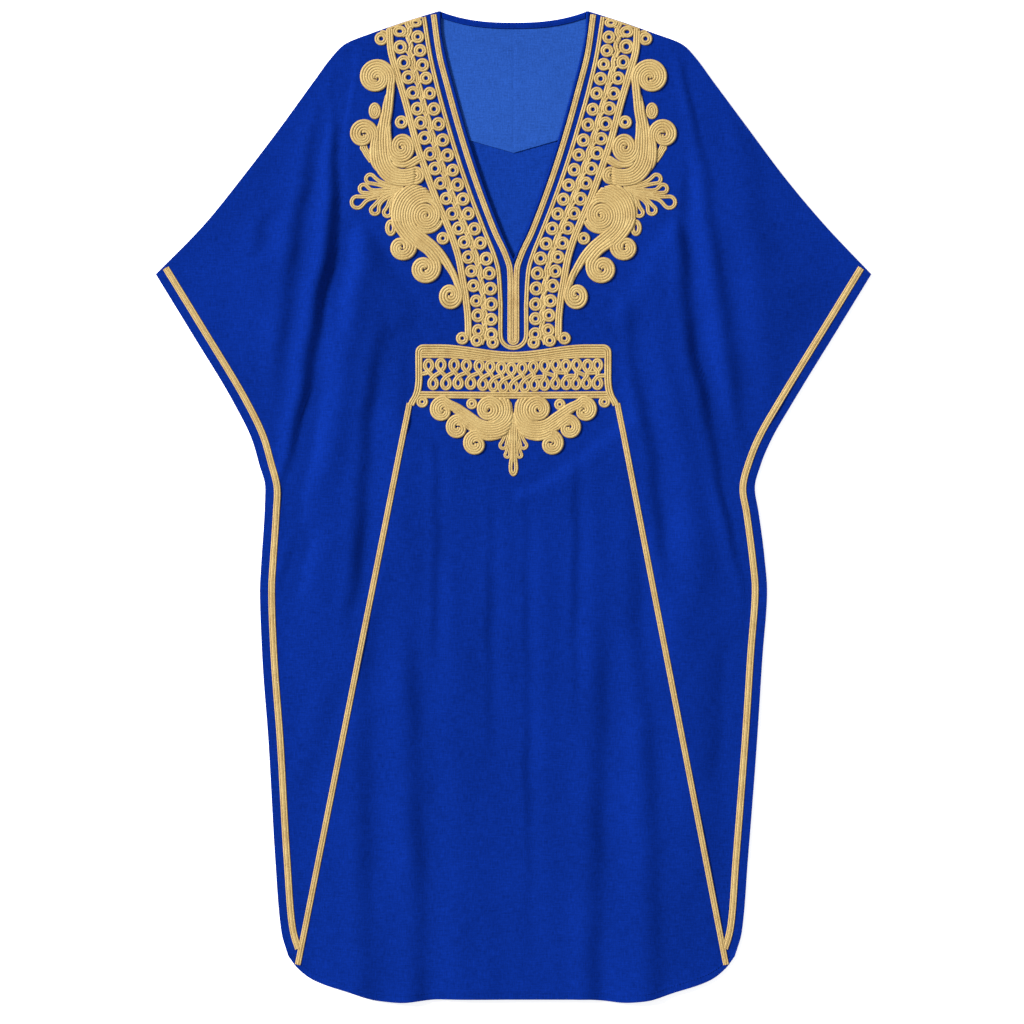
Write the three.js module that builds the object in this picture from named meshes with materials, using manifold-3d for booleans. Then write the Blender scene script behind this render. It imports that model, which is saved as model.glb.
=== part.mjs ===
// A kaftan dress laid flat: a front and a back panel with their sleeves cut in one,
// and gold cord embroidery round the V neck, at the waist and along the edges.
//
// Millimetres. +X is the viewer's right, +Y towards the neck, +Z up, away from the
// surface it lies on. The origin is under the middle of the garment, on that surface.
// Heights along the body are given as "down", the distance below the neck points.
import * as THREE from 'three';
import { mergeVertices } from 'three/addons/utils/BufferGeometryUtils.js';
import Module from 'manifold-3d';

const wasm = await Module();
wasm.setup();

// ---- driving sizes -----------------------------------------------------------
const LENGTH = 1289;              // neck point to the lowest point of the hem
const CLOTH = 1.2;                // thickness of one layer of cloth
const FACING = 1.0;               // thickness of the back neck facing
const SEAM = 0.3;                 // gap that stands for a sewn seam
const BINDING_WIDTH = 4;          // folded edge along the V neck
const BINDING_POINT = 6.5;        // its depth below the V's point
const BINDING_START = 2;          // its ends, below the neck points
const BACK_BINDING_WIDTH = 7.8;   // folded edge along the back neck
const BINDING_HEIGHT = 1;
const CORD_HEIGHT = 2.4;          // how far the sewn cords stand up
const CORD_WIDTH = 2.7;
const CORD_SHOULDER = 0.6;        // where a cord's side turns into its top, as a share
const EDGE_STEP = 0.4;            // binding's edge, in from the cloth's own edge
const SCOOP_STEP = 0.6;           // the same at the back neck
const SCOOP_END = 1.2;            // how much shorter the back binding is at each end
const CUT_CLEAR = 4;              // how far a cutting shape runs past what it cuts
const BRAID_WIDTH = 7.6;          // three cords side by side
const BRAID_INSET = 15.5;         // side braid's middle line, in from the edge
const RING_RADIUS = 8.4;          // a ring of two turns of cord
const RING_HOLE = 2.6;
const RING_CLEAR = 0.5;           // between a ring and the border beside it

const BACK_TOP = CLOTH;
const FACING_BOTTOM = BACK_TOP + SEAM;
const FACING_TOP = FACING_BOTTOM + FACING;
const FRONT_BOTTOM = BACK_TOP + SEAM;            // where the front lies on the back
const YOKE_LIFT = FACING_TOP + SEAM - FRONT_BOTTOM;   // extra lift over the facing
const YOKE_TOP = FRONT_BOTTOM + YOKE_LIFT + CLOTH;
const TRIM_BOTTOM = YOKE_TOP + SEAM;             // underside of the embroidery

const CLOTH_LOFT = 3.0;           // how far free cloth stands off the back
const SIDE_FLAT = 22;             // strip along each edge that lies flat
const SIDE_RISE = 45;             // width over which the cloth then rises
const YOKE_RISE = 40;             // the same round the embroidery

const FRONT_COLUMNS = 16;         // cells from the centre or neck edge to the side
const SHOULDER_TIP = 3;           // width of the cloth at the neck point

// ---- outline of both panels ---------------------------------------------------
const SIDE_EDGE = [
  { down: 0, left: 97.5, right: 97.5 },
  { down: 12, left: 137, right: 136 },
  { down: 28, left: 183, right: 181 },
  { down: 43, left: 220, right: 220 },
  { down: 59, left: 236, right: 236 },
  { down: 90, left: 259, right: 259 },
  { down: 152, left: 304, right: 305 },
  { down: 215, left: 352, right: 352 },
  { down: 277, left: 402, right: 404 },
  { down: 342, left: 465.5, right: 465.5 },
  { down: 418, left: 419, right: 419 },
  { down: 511, left: 363, right: 362 },
  { down: 558, left: 340, right: 335 },
  { down: 589, left: 331, right: 322 },
  { down: 620, left: 323, right: 314 },
  { down: 652, left: 324, right: 319 },
  { down: 714, left: 328, right: 327 },
  { down: 753, left: 330, right: 330 },
  { down: 839, left: 327, right: 324 },
  { down: 948, left: 319, right: 317 },
  { down: 1104, left: 310, right: 305 },
  { down: 1198, left: 302, right: 297 },
  { down: 1229, left: 293, right: 288 },
];
const CUFF_TIP_DOWN = 342;        // lowest point of the cuff, where the side begins
const CORNER_DOWN = 1229;         // where the side turns into the hem
const HEM_BEND_START = 1026;      // rows below this bend towards the hem

// Depth of the hem, by how far out it is as a share of the hem's half width.
const HEM_EDGE = [
  { share: 0, down: 1284.8 },
  { share: 0.33, down: 1284.8 },
  { share: 0.41, down: 1286.7 },
  { share: 0.5, down: 1289 },
  { share: 0.6, down: 1286.7 },
  { share: 0.73, down: 1275.7 },
  { share: 0.89, down: 1260 },
  { share: 0.96, down: 1244.5 },
  { share: 1, down: 1229 },
];

const NECK_EDGE = [
  { down: 0, half: 94.5 },
  { down: 22, half: 94 },
  { down: 54, half: 88.4 },
  { down: 100, half: 76.7 },
  { down: 147, half: 63.7 },
  { down: 194, half: 49.4 },
  { down: 241, half: 33.2 },
  { down: 288, half: 15 },
  { down: 322, half: 0 },
];
const NECK_POINT = 322;           // the V's lowest point
const BACK_SCOOP = 14.3;          // drop of the back neck at its middle
const BACK_SCOOP_POWER = 2.5;     // how square the scoop is

// Rows of the front panel beside those of the outline.
const EXTRA_ROWS = [121, 184, 246, 300, NECK_POINT, 380, 465, 893, 1026, 1151];

// ---- folds of the front -------------------------------------------------------
// Each fold is a soft trough with a ridge at each side. x and down are points on
// its line, depth is at its deepest, width is half the trough's, hem says how deep
// it still is where it runs out at its lower end.
const FOLDS = [
  { name: 'left sleeve', x: [-224, -228, -250, -268, -294],
    down: [58, 253, 385, 501, 624], depth: 3.2, width: 17, hem: 0 },
  { name: 'left sleeve, outer', x: [-241, -268, -286, -303],
    down: [102, 234, 341, 474], depth: 2.2, width: 18, hem: 0 },
  { name: 'left cuff', x: [-322, -331], down: [262, 314], depth: 1.2, width: 16, hem: 0 },
  { name: 'left chest', x: [-167, -188, -197, -211],
    down: [415, 536, 696, 784], depth: 2.2, width: 17, hem: 0 },
  { name: 'left skirt', x: [-162, -188, -188, -188],
    down: [722, 873, 1050, 1228], depth: 2.2, width: 20, hem: 0.5 },
  { name: 'left of the middle', x: [-131, -126, -119, -117],
    down: [792, 950, 1110, 1284], depth: 2.8, width: 20, hem: 1 },
  { name: 'left hip', x: [-278, -299], down: [678, 758], depth: 1.8, width: 15, hem: 0 },
  { name: 'left side', x: [-224, -268], down: [873, 1007], depth: 1.4, width: 22, hem: 0 },
  { name: 'right sleeve, outer', x: [228, 246, 264, 282, 300],
    down: [65, 163, 297, 429, 563], depth: 2.6, width: 18, hem: 0 },
  { name: 'right sleeve', x: [220, 229, 255, 278, 295, 309],
    down: [225, 385, 519, 624, 696, 758], depth: 3.2, width: 17, hem: 0 },
  { name: 'right chest', x: [149, 162, 180, 198],
    down: [367, 483, 563, 723], depth: 2.2, width: 17, hem: 0 },
  { name: 'right skirt', x: [158, 162, 171, 184, 189],
    down: [661, 784, 874, 1051, 1229], depth: 2.4, width: 20, hem: 0.6 },
  { name: 'right of the middle', x: [119, 114, 109],
    down: [828, 1050, 1284], depth: 2.8, width: 20, hem: 1 },
  { name: 'right hip', x: [273, 273, 246], down: [821, 944, 1006], depth: 1.5, width: 24, hem: 0 },
];
const FOLD_RIDGE = 0.45;          // height of the ridges as a share of the depth
const FOLD_RIDGE_PLACE = 1.7;     // where they are, in widths from the line
const FOLD_FADE = 0.3;            // share of a fold's length over which it fades

// Half width of the embroidered part of the front, which lies flat.
const YOKE_EDGE = [
  { down: 0, half: 195 },
  { down: 90, half: 208 },
  { down: 180, half: 222 },
  { down: 260, half: 220 },
  { down: 330, half: 170 },
  { down: 400, half: 135 },
  { down: 515, half: 140 },
  { down: 560, half: 95 },
  { down: 610, half: 30 },
  { down: 640, half: -40 },
];

// ---- braids and embroidery ----------------------------------------------------
const NECK_BRAID = [              // both edges of the braid beside the V
  { down: 4.5, inner: 99.8, outer: 107.8 },
  { down: 54, inner: 93, outer: 100.6 },
  { down: 100, inner: 81.3, outer: 89 },
  { down: 147, inner: 68.3, outer: 76.4 },
  { down: 194, inner: 54, outer: 62.2 },
  { down: 241, inner: 37.9, outer: 46 },
  { down: 288, inner: 19.8, outer: 27.8 },
  { down: 319, inner: 5.4, outer: 13.6 },
  { down: 336, inner: 0.3, outer: 8.8 },
  { down: 350, inner: 0.2, outer: 7.6 },
];
const TONGUE_END = 434.5;         // rounded end of the tongue under the V

const INNER_BORDER = [            // middle line of the two cords beside the braid
  { down: 7.5, half: 116.3 },
  { down: 54, half: 109 },
  { down: 100, half: 98.6 },
  { down: 147, half: 85.6 },
  { down: 194, half: 71.3 },
  { down: 241, half: 55 },
  { down: 288, half: 36.8 },
  { down: 319, half: 24.5 },
  { down: 335, half: 20 },
  { down: 352, half: 18.2 },
  { down: 381, half: 16.7 },
];
const INNER_BORDER_WIDTH = 2 * CORD_WIDTH;
const INNER_BORDER_END = 438;     // middle line at the bottom of its U

const OUTER_BORDER = [            // middle line of the loop band's outer border
  { down: 23, half: 161 },
  { down: 45, half: 160 },
  { down: 86, half: 149.5 },
  { down: 116, half: 140.7 },
  { down: 142, half: 133.9 },
  { down: 168, half: 127 },
  { down: 197, half: 117.5 },
  { down: 229, half: 106 },
  { down: 246, half: 99.6 },
  { down: 272, half: 88.4 },
  { down: 298, half: 78 },
  { down: 324, half: 70.3 },
  { down: 350, half: 65.7 },
  { down: 376, half: 61.4 },
  { down: 405, half: 58.8 },
  { down: 425, half: 58.5 },
];
const OUTER_BORDER_WIDTH = 8.6;   // three cords
const BAND_RINGS = [              // single rings on the outer border's outside
  { name: 'top ring', out: 171.8, down: 36, radius: 8.4 },
  { name: 'upper ring', out: 145.4, down: 144.5, radius: 8.6 },
  { name: 'lower ring', out: 91.6, down: 295.6, radius: 8.2 },
  { name: 'foot ring', out: 67, down: 424.5, radius: 7.8 },
];

const BELT = {
  half: 127.5, corner: 10.4, topEnds: 433.3, topMiddle: 443, bottom: 503.5,
  upperRow: 460.5, lowerRow: 483.5, rowSag: 4.5, sagReach: 55,
};
const BELT_SAG_REACH = 0.75;      // share of the belt's half width that sags

// Coils, rings and joining strokes of the scroll beside the band. "out" is the
// distance from the centre line.
const SCROLL_COILS = [
  { name: 'top coil', out: 177.8, down: 83.9, radius: 21.2 },
  { name: 'bud', out: 180.5, down: 130, radius: 8.6 },
  { name: 'shoulder coil', out: 195, down: 158.5, radius: 17.2 },
  { name: 'inner coil', out: 145, down: 179.8, radius: 19.5 },
  { name: 'small leaf', out: 193.4, down: 181, radius: 6.8 },
  { name: 'great coil', out: 127, down: 255.7, radius: 31 },
  { name: 'eye of the great coil', out: 112.8, down: 268, radius: 16 },
  { name: 'first lower coil', out: 144.2, down: 308.8, radius: 14.8 },
  { name: 'second lower coil', out: 114.4, down: 336.3, radius: 17.4 },
  { name: 'last coil', out: 82.4, down: 371.4, radius: 16.2 },
];
const SCROLL_RINGS = [
  { name: 'leaf loop 1', out: 186, down: 218.3, radius: 9 },
  { name: 'leaf loop 2', out: 193.6, down: 231.8, radius: 8.6 },
  { name: 'leaf loop 3', out: 202.6, down: 248.5, radius: 10 },
  { name: 'leaf loop 4', out: 180.1, down: 258.4, radius: 8.6 },
  { name: 'leaf loop 5', out: 163.4, down: 261.8, radius: 8.4 },
  { name: 'side loop', out: 159.4, down: 281.4, radius: 8.4 },
];
const SCROLL_STROKES = [
  { name: 'trunk', out: [155.4, 158, 160.6, 165.8, 170.3, 173, 165.5, 151, 133.9, 119],
    down: [74.5, 90, 108.3, 130.4, 156.4, 182.4, 200.6, 213.6, 219.4, 218.8],
    width: [5, 8.5, 11, 15.6, 20, 27, 31, 30, 25, 23.4] },
  { name: 'leaf stem', out: [198, 178, 158, 143], down: [247, 240.5, 233, 229],
    width: [9, 13, 14, 12] },
  { name: 'upper leaf stem', out: [184, 170, 152], down: [221, 226.5, 231], width: [10, 12, 12] },
  { name: 'lower leaf stem', out: [176, 166, 154], down: [253, 244.5, 236], width: [9, 11, 12] },
  { name: 'tail', out: [137.2, 124.2, 108.6, 93.6, 83.9, 76.7, 71.5],
    down: [279.9, 291.6, 305.9, 318.9, 333.2, 348.8, 363.1],
    width: [30, 27, 22, 15.6, 13, 9, 5] },
  { name: 'branch to the first lower coil', out: [143, 136.5], down: [280, 301], width: [19, 12] },
  { name: 'branch to the second lower coil', out: [118, 103.5], down: [306, 328], width: [17, 11] },
];

// How far across some of the loops of the belt's two rows are.
const UPPER_LOOPS = [{ ring: 0, x: -110 }, { ring: 4, x: -45 }, { ring: 10, x: 41 },
  { ring: 15, x: 110 }];
const LOWER_LOOPS = [{ ring: 0, x: -104 }, { ring: 4, x: -39 }, { ring: 10, x: 41 },
  { ring: 15, x: 109 }];
const BELT_CORNER_RING = { out: 118.5, down: 508, radius: 7.6 };

const DROP_COILS = [
  { name: 'outer coil', out: 96.2, down: 518.6, radius: 13.2 },
  { name: 'middle coil', out: 73.5, down: 542, radius: 13 },
  { name: 'inner coil', out: 50, down: 562.4, radius: 13.8 },
  { name: 'great coil', out: 33.5, down: 517.5, radius: 17 },
];
const DROP_RINGS = [
  { name: 'inner ring, left', side: -1, out: 54, down: 509.8, radius: 7.4 },
  { name: 'inner ring, right', side: 1, out: 60.5, down: 511.5, radius: 7.4 },
  { name: 'drop loop, left', side: -1, out: 12.5, down: 563.5, radius: 7.2 },
  { name: 'drop loop, right', side: 1, out: 12.5, down: 563.5, radius: 7.2 },
];
const DROP_STROKES = [
  { name: 'arm', out: [87.8, 74.8, 61.8, 46.2, 30.6, 16.3, 0],
    down: [507.4, 514.5, 529.5, 539.2, 543.8, 541.2, 531.5],
    width: [6.5, 14, 21, 25, 26, 32, 38] },
  { name: 'middle', out: [20, 8, 0], down: [509, 516, 524], width: [22, 26, 30] },
  { name: 'drop stem', out: [9, 4, 0], down: [560, 552, 540], width: [7, 10, 12] },
];
const DROP_STEM = [{ half: 4, down: 588 }, { half: 8, down: 545 }];
const DROP_END = { down: 593, radius: 6.6 };
const DROP_TIP = { out: [0, 0], down: [596, 605], width: [9, 1.5] };
const DROP_SMALL = { out: 6.6, down: 577, radius: 5.6 };

const SKIRT_BRAID = { topDown: 504.2, topOut: 129.8, endDown: 1236, left: 280.5, right: 276.5 };
const SKIRT_BRAID_STEPS = 20;
const SIDE_BRAID_END = 1203;      // where the side braid ends beside the skirt braid

// ---- colours --------------------------------------------------------------------
const COLOURS = {
  cloth: { color: new THREE.Color('rgb(13, 50, 150)'), roughness: 0.85, metalness: 0 },
  facing: { color: new THREE.Color('rgb(45, 90, 190)'), roughness: 0.85, metalness: 0 },
  gold: { color: new THREE.Color('rgb(200, 162, 105)'), roughness: 0.45, metalness: 0.35 },
};

// ---- tables and curves ------------------------------------------------------------
const clamp01 = (value) => Math.min(1, Math.max(0, value));

function smooth(value) {
  const share = clamp01(value);
  return share * share * (3 - 2 * share);
}

// Value of a table's column at a place between two of its rows.
function readTable(rows, key, at, column) {
  if (at <= rows[0][key]) return rows[0][column];
  for (let i = 1; i < rows.length; i += 1) {
    const low = rows[i - 1];
    const high = rows[i];
    if (at <= high[key]) {
      const share = (at - low[key]) / (high[key] - low[key]);
      return low[column] + share * (high[column] - low[column]);
    }
  }
  return rows[rows.length - 1][column];
}

const toY = (down) => LENGTH / 2 - down;
const sideAt = (down, side) => readTable(SIDE_EDGE, 'down', down, side < 0 ? 'left' : 'right');
const neckAt = (down) => readTable(NECK_EDGE, 'down', down, 'half');
const hemAt = (share) => readTable(HEM_EDGE, 'share', share, 'down');

// Shortest distance from a point to the shoulder, cuff and side edge.
function edgeDistance(x, down) {
  const side = x < 0 ? -1 : 1;
  const column = side < 0 ? 'left' : 'right';
  const across = Math.abs(x);
  let nearest = Infinity;
  for (let i = 1; i < SIDE_EDGE.length; i += 1) {
    const a = SIDE_EDGE[i - 1];
    const b = SIDE_EDGE[i];
    const run = b[column] - a[column];
    const fall = b.down - a.down;
    const along = ((across - a[column]) * run + (down - a.down) * fall) / (run * run + fall * fall);
    const t = clamp01(along);
    const gap = Math.hypot(across - a[column] - t * run, down - a.down - t * fall);
    nearest = Math.min(nearest, gap);
  }
  return nearest;
}

// Height that one fold adds at a point.
function foldHeight(fold, x, down) {
  const first = fold.down[0];
  const last = fold.down[fold.down.length - 1];
  const fade = FOLD_FADE * (last - first);
  const start = smooth((down - first + fade / 2) / fade);
  const end = smooth((last + fade / 2 - down) / fade);
  const strength = start * Math.max(end, down > first ? fold.hem : 0);
  if (strength <= 0) return 0;
  const rows = fold.down.map((at, i) => ({ at, x: fold.x[i] }));
  const away = (x - readTable(rows, 'at', down, 'x')) / fold.width;
  const trough = Math.exp(-away * away);
  const leftRidge = Math.exp(-((away + FOLD_RIDGE_PLACE) ** 2));
  const rightRidge = Math.exp(-((away - FOLD_RIDGE_PLACE) ** 2));
  return fold.depth * strength * (FOLD_RIDGE * (leftRidge + rightRidge) - trough);
}

// How far the front stands above the place where it would touch the back.
function liftAt(x, down) {
  const free = smooth((edgeDistance(x, down) - SIDE_FLAT) / SIDE_RISE);
  const folded = FOLDS.reduce((sum, fold) => sum + foldHeight(fold, x, down), CLOTH_LOFT);
  const beyond = Math.abs(x) - readTable(YOKE_EDGE, 'down', down, 'half');
  const yoke = 1 - smooth(beyond / YOKE_RISE);
  const openCloth = Math.max(0, free * folded);
  return openCloth * (1 - yoke) + YOKE_LIFT * yoke;
}

// ---- solids ---------------------------------------------------------------------
function geometryFrom(positions, triangles) {
  const geometry = new THREE.BufferGeometry();
  geometry.setAttribute('position', new THREE.Float32BufferAttribute(positions, 3));
  geometry.setIndex(triangles);
  return mergeVertices(geometry, 1e-4);
}

function named(name, geometry, finish) {
  const mesh = new THREE.Mesh(geometry, new THREE.MeshStandardMaterial(COLOURS[finish]));
  mesh.name = name;
  return mesh;
}

// A flat plate of a given outline and holes, between two heights.
function plate(outline, holes, bottom, height) {
  const shape = new THREE.Shape(outline.map(([x, y]) => new THREE.Vector2(x, y)));
  for (const hole of holes) {
    shape.holes.push(new THREE.Path(hole.map(([x, y]) => new THREE.Vector2(x, y))));
  }
  const geometry = new THREE.ExtrudeGeometry(shape, { depth: height, bevelEnabled: false });
  geometry.deleteAttribute('normal');
  geometry.deleteAttribute('uv');
  geometry.translate(0, 0, bottom);
  return mergeVertices(geometry, 1e-4);
}

// A closed strip with a rounded top, along stations that give both its edges and
// the height of its underside.
function strip(stations, height) {
  const positions = [];
  const shoulder = CORD_SHOULDER * height;
  for (const { left, right, z } of stations) {
    const middle = [(left[0] + right[0]) / 2, (left[1] + right[1]) / 2];
    positions.push(...left, z, ...right, z, ...right, z + shoulder);
    positions.push(...middle, z + height, ...left, z + shoulder);
  }
  const ring = 5;
  const triangles = [];
  for (let s = 0; s + 1 < stations.length; s += 1) {
    for (let k = 0; k < ring; k += 1) {
      const a = s * ring + k;
      const b = s * ring + ((k + 1) % ring);
      triangles.push(a, b, b + ring, a, b + ring, a + ring);
    }
  }
  const last = (stations.length - 1) * ring;
  triangles.push(0, 2, 1, 0, 3, 2, 0, 4, 3);
  triangles.push(last, last + 1, last + 2, last, last + 2, last + 3, last, last + 3, last + 4);
  return geometryFrom(positions, triangles);
}

function toManifold(geometry) {
  const positions = geometry.getAttribute('position').array;
  const triangles = geometry.getIndex().array;
  return new wasm.Manifold(new wasm.Mesh({
    numProp: 3,
    vertProperties: new Float32Array(positions),
    triVerts: new Uint32Array(triangles),
  }));
}

function fromManifold(solid) {
  const mesh = solid.getMesh();
  return geometryFrom(Array.from(mesh.vertProperties), Array.from(mesh.triVerts));
}

const roundOutline = (x, y, radius, sides, turn = 0) => Array.from({ length: sides }, (_, i) => {
  const angle = turn + (2 * Math.PI * i) / sides;
  return [x + radius * Math.cos(angle), y + radius * Math.sin(angle)];
});

const COIL_SIDES = 14;
const SMALL_COIL = 12;            // coils below this radius get a ring's sides
const RING_SIDES = 10;
const HOLE_SIDES = 6;
const HOLE_TURN = 0.2;            // keeps the eyes of a row from lining up exactly
const GAP_RADIUS = 3.6;           // three-cornered gap between two rings and a border
const BELT_GAP_RADIUS = 2.9;

function coilSolid(row, side) {
  const sides = row.radius > SMALL_COIL ? COIL_SIDES : RING_SIDES;
  const outline = roundOutline(side * row.out, toY(row.down), row.radius, sides);
  return toManifold(plate(outline, [], TRIM_BOTTOM, CORD_HEIGHT));
}

function ringSolid(row, side) {
  const x = side * row.out;
  const outline = roundOutline(x, toY(row.down), row.radius, RING_SIDES);
  const hole = roundOutline(x, toY(row.down), RING_HOLE, HOLE_SIDES);
  return toManifold(plate(outline, [hole], TRIM_BOTTOM, CORD_HEIGHT));
}

// A stroke of several cords side by side: a plate as wide as the row says.
function strokeOutline(stroke, side) {
  const points = stroke.out.map((out, i) => new THREE.Vector2(side * out, toY(stroke.down[i])));
  const near = [];
  const far = [];
  points.forEach((point, i) => {
    const before = points[Math.max(0, i - 1)];
    const after = points[Math.min(points.length - 1, i + 1)];
    const along = after.clone().sub(before).normalize();
    const reach = stroke.width[i] / 2;
    near.push([point.x - along.y * reach, point.y + along.x * reach]);
    far.push([point.x + along.y * reach, point.y - along.x * reach]);
  });
  return [...near, ...far.reverse()];
}

function strokeSolid(stroke, side) {
  return toManifold(plate(strokeOutline(stroke, side), [], TRIM_BOTTOM, CORD_HEIGHT));
}

// ---- panels ---------------------------------------------------------------------
function frontPanel() {
  const downs = [...new Set([...SIDE_EDGE.map((row) => row.down), ...EXTRA_ROWS])];
  downs.sort((a, b) => a - b);
  const positions = [];
  const triangles = [];
  for (const side of [-1, 1]) {
    const start = positions.length / 3;
    for (const rowDown of downs) {
      const inner = neckAt(rowDown);
      const outer = Math.max(sideAt(rowDown, side), inner + SHOULDER_TIP);
      for (let c = 0; c <= FRONT_COLUMNS; c += 1) {
        const share = c / FRONT_COLUMNS;
        const across = inner + share * (outer - inner);
        let down = rowDown;
        if (rowDown > HEM_BEND_START) {
          const bend = (rowDown - HEM_BEND_START) / (CORNER_DOWN - HEM_BEND_START);
          down = HEM_BEND_START + bend * (hemAt(share) - HEM_BEND_START);
        }
        const x = side * across;
        const z = FRONT_BOTTOM + liftAt(x, down);
        positions.push(x, toY(down), z, x, toY(down), z + CLOTH);
      }
    }
    const at = (row, column, top) => start + 2 * (row * (FRONT_COLUMNS + 1) + column) + top;
    const quad = (a, b, c, d) => {
      if (side < 0) triangles.push(a, b, c, a, c, d);
      else triangles.push(a, c, b, a, d, c);
    };
    for (let r = 0; r + 1 < downs.length; r += 1) {
      for (let c = 0; c < FRONT_COLUMNS; c += 1) {
        quad(at(r, c, 1), at(r, c + 1, 1), at(r + 1, c + 1, 1), at(r + 1, c, 1));
        quad(at(r, c, 0), at(r + 1, c, 0), at(r + 1, c + 1, 0), at(r, c + 1, 0));
      }
      quad(at(r, FRONT_COLUMNS, 1), at(r, FRONT_COLUMNS, 0),
        at(r + 1, FRONT_COLUMNS, 0), at(r + 1, FRONT_COLUMNS, 1));
      if (downs[r] < NECK_POINT) {
        quad(at(r, 0, 0), at(r, 0, 1), at(r + 1, 0, 1), at(r + 1, 0, 0));
      }
    }
    const hem = downs.length - 1;
    for (let c = 0; c < FRONT_COLUMNS; c += 1) {
      quad(at(0, c, 0), at(0, c + 1, 0), at(0, c + 1, 1), at(0, c, 1));
      quad(at(hem, c, 1), at(hem, c + 1, 1), at(hem, c + 1, 0), at(hem, c, 0));
    }
  }
  return geometryFrom(positions, triangles);
}

const SCOOP_STEPS = 12;
const HEM_SHARES = [1, 0.96, 0.89, 0.81, 0.73, 0.66, 0.6, 0.55, 0.5, 0.45, 0.41, 0.33];
const scoopDown = (x, half) => BACK_SCOOP * (1 - Math.abs(x / half) ** BACK_SCOOP_POWER);

// Points of the scooped back neck, from left to right.
function scoopLine(half, lower) {
  const line = [];
  for (let i = 0; i <= SCOOP_STEPS; i += 1) {
    const x = half * (2 * i / SCOOP_STEPS - 1);
    line.push([x, toY(scoopDown(x, NECK_EDGE[0].half) + lower)]);
  }
  return line;
}

function backPanel() {
  const outline = scoopLine(NECK_EDGE[0].half, 0);
  for (const row of SIDE_EDGE.slice(0, -1)) outline.push([row.right, toY(row.down)]);
  for (const share of HEM_SHARES) {
    outline.push([share * sideAt(CORNER_DOWN, 1), toY(hemAt(share))]);
  }
  for (const share of [...HEM_SHARES].reverse()) {
    outline.push([-share * sideAt(CORNER_DOWN, -1), toY(hemAt(share))]);
  }
  for (const row of SIDE_EDGE.slice(0, -1).reverse()) outline.push([-row.left, toY(row.down)]);
  return plate(outline.reverse(), [], 0, CLOTH);
}

const FACING_EDGE = { half: 92.5, shoulderOut: 108, shoulderDown: 9, lowerOut: 84, lowerDown: 160,
  middleDown: 184 };

function backNeckFacing() {
  const { half, shoulderOut, shoulderDown, lowerOut, lowerDown, middleDown } = FACING_EDGE;
  const outline = scoopLine(half, SCOOP_STEP);
  outline.push([shoulderOut, toY(shoulderDown)], [lowerOut, toY(lowerDown)]);
  outline.push([0, toY(middleDown)], [-lowerOut, toY(lowerDown)]);
  outline.push([-shoulderOut, toY(shoulderDown)]);
  return plate(outline.reverse(), [], FACING_BOTTOM, FACING);
}

function backNeckBinding() {
  const half = NECK_EDGE[0].half - SCOOP_END;
  const upper = scoopLine(half, SCOOP_STEP);
  const lower = scoopLine(half, SCOOP_STEP + BACK_BINDING_WIDTH);
  const stations = upper.map((point, i) => (
    { left: lower[i], right: point, z: FACING_TOP + SEAM }));
  return strip(stations, BINDING_HEIGHT);
}

// Stations along both sides of the V, from the left shoulder down and up again.
function roundTheNeck(rows, innerOf, outerOf, turnStations) {
  const leg = rows.map((row) => (
    { down: row.down, inner: innerOf(row), outer: outerOf(row) }));
  const stations = leg.map(({ down, inner, outer }) => (
    { left: [-inner, toY(down)], right: [-outer, toY(down)], z: TRIM_BOTTOM }));
  stations.push(...turnStations);
  for (const { down, inner, outer } of leg.reverse()) {
    stations.push({ left: [inner, toY(down)], right: [outer, toY(down)], z: TRIM_BOTTOM });
  }
  return stations;
}

const BRAID_TURN_STEPS = 8;
const BORDER_TURN_STEPS = 10;

function uTurn(centreDown, innerRadius, outerRadius, steps) {
  const turn = [];
  for (let i = 0; i <= steps; i += 1) {
    const angle = Math.PI + (Math.PI * i) / steps;
    const at = (radius) => [radius * Math.cos(angle), toY(centreDown) + radius * Math.sin(angle)];
    turn.push({ left: at(innerRadius), right: at(outerRadius), z: TRIM_BOTTOM });
  }
  return turn;
}

function frontNeckBinding() {
  const rows = NECK_EDGE.slice(0, -1)
    .map((row) => ({ ...row, down: Math.max(row.down, BINDING_START) }));
  const turn = [{ left: [0, toY(NECK_POINT + EDGE_STEP)],
    right: [0, toY(NECK_POINT + BINDING_POINT)], z: TRIM_BOTTOM }];
  const innerOf = (row) => row.half + EDGE_STEP;
  const outerOf = (row) => Math.min(innerOf(row) + BINDING_WIDTH,
    readTable(NECK_BRAID, 'down', row.down, 'inner') - SEAM);
  return strip(roundTheNeck(rows, innerOf, outerOf, turn), BINDING_HEIGHT);
}

function neckBraid() {
  const last = NECK_BRAID[NECK_BRAID.length - 1];
  const turn = uTurn(TONGUE_END - last.outer, last.inner, last.outer, BRAID_TURN_STEPS);
  return strip(roundTheNeck(NECK_BRAID, (row) => row.inner, (row) => row.outer, turn),
    CORD_HEIGHT);
}

function innerBorder() {
  const reach = INNER_BORDER_WIDTH / 2;
  const radius = INNER_BORDER[INNER_BORDER.length - 1].half;
  const turn = uTurn(INNER_BORDER_END - radius, radius - reach, radius + reach,
    BORDER_TURN_STEPS);
  return strip(roundTheNeck(INNER_BORDER, (row) => row.half - reach,
    (row) => row.half + reach, turn), CORD_HEIGHT);
}

// ---- embroidery -------------------------------------------------------------------
// Centres of rings set along a line that runs beside a border.
function ringCentres(border, offset, rings) {
  return Array.from({ length: rings.at(-1).ring + 1 }, (_, i) => {
    const down = readTable(rings, 'ring', i, 'down');
    return { out: readTable(border, 'down', down, 'half') + offset, down };
  });
}

const OUTER_OFFSET = -(OUTER_BORDER_WIDTH / 2 + RING_RADIUS + RING_CLEAR);
const INNER_OFFSET = INNER_BORDER_WIDTH / 2 + RING_RADIUS + RING_CLEAR;
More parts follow.
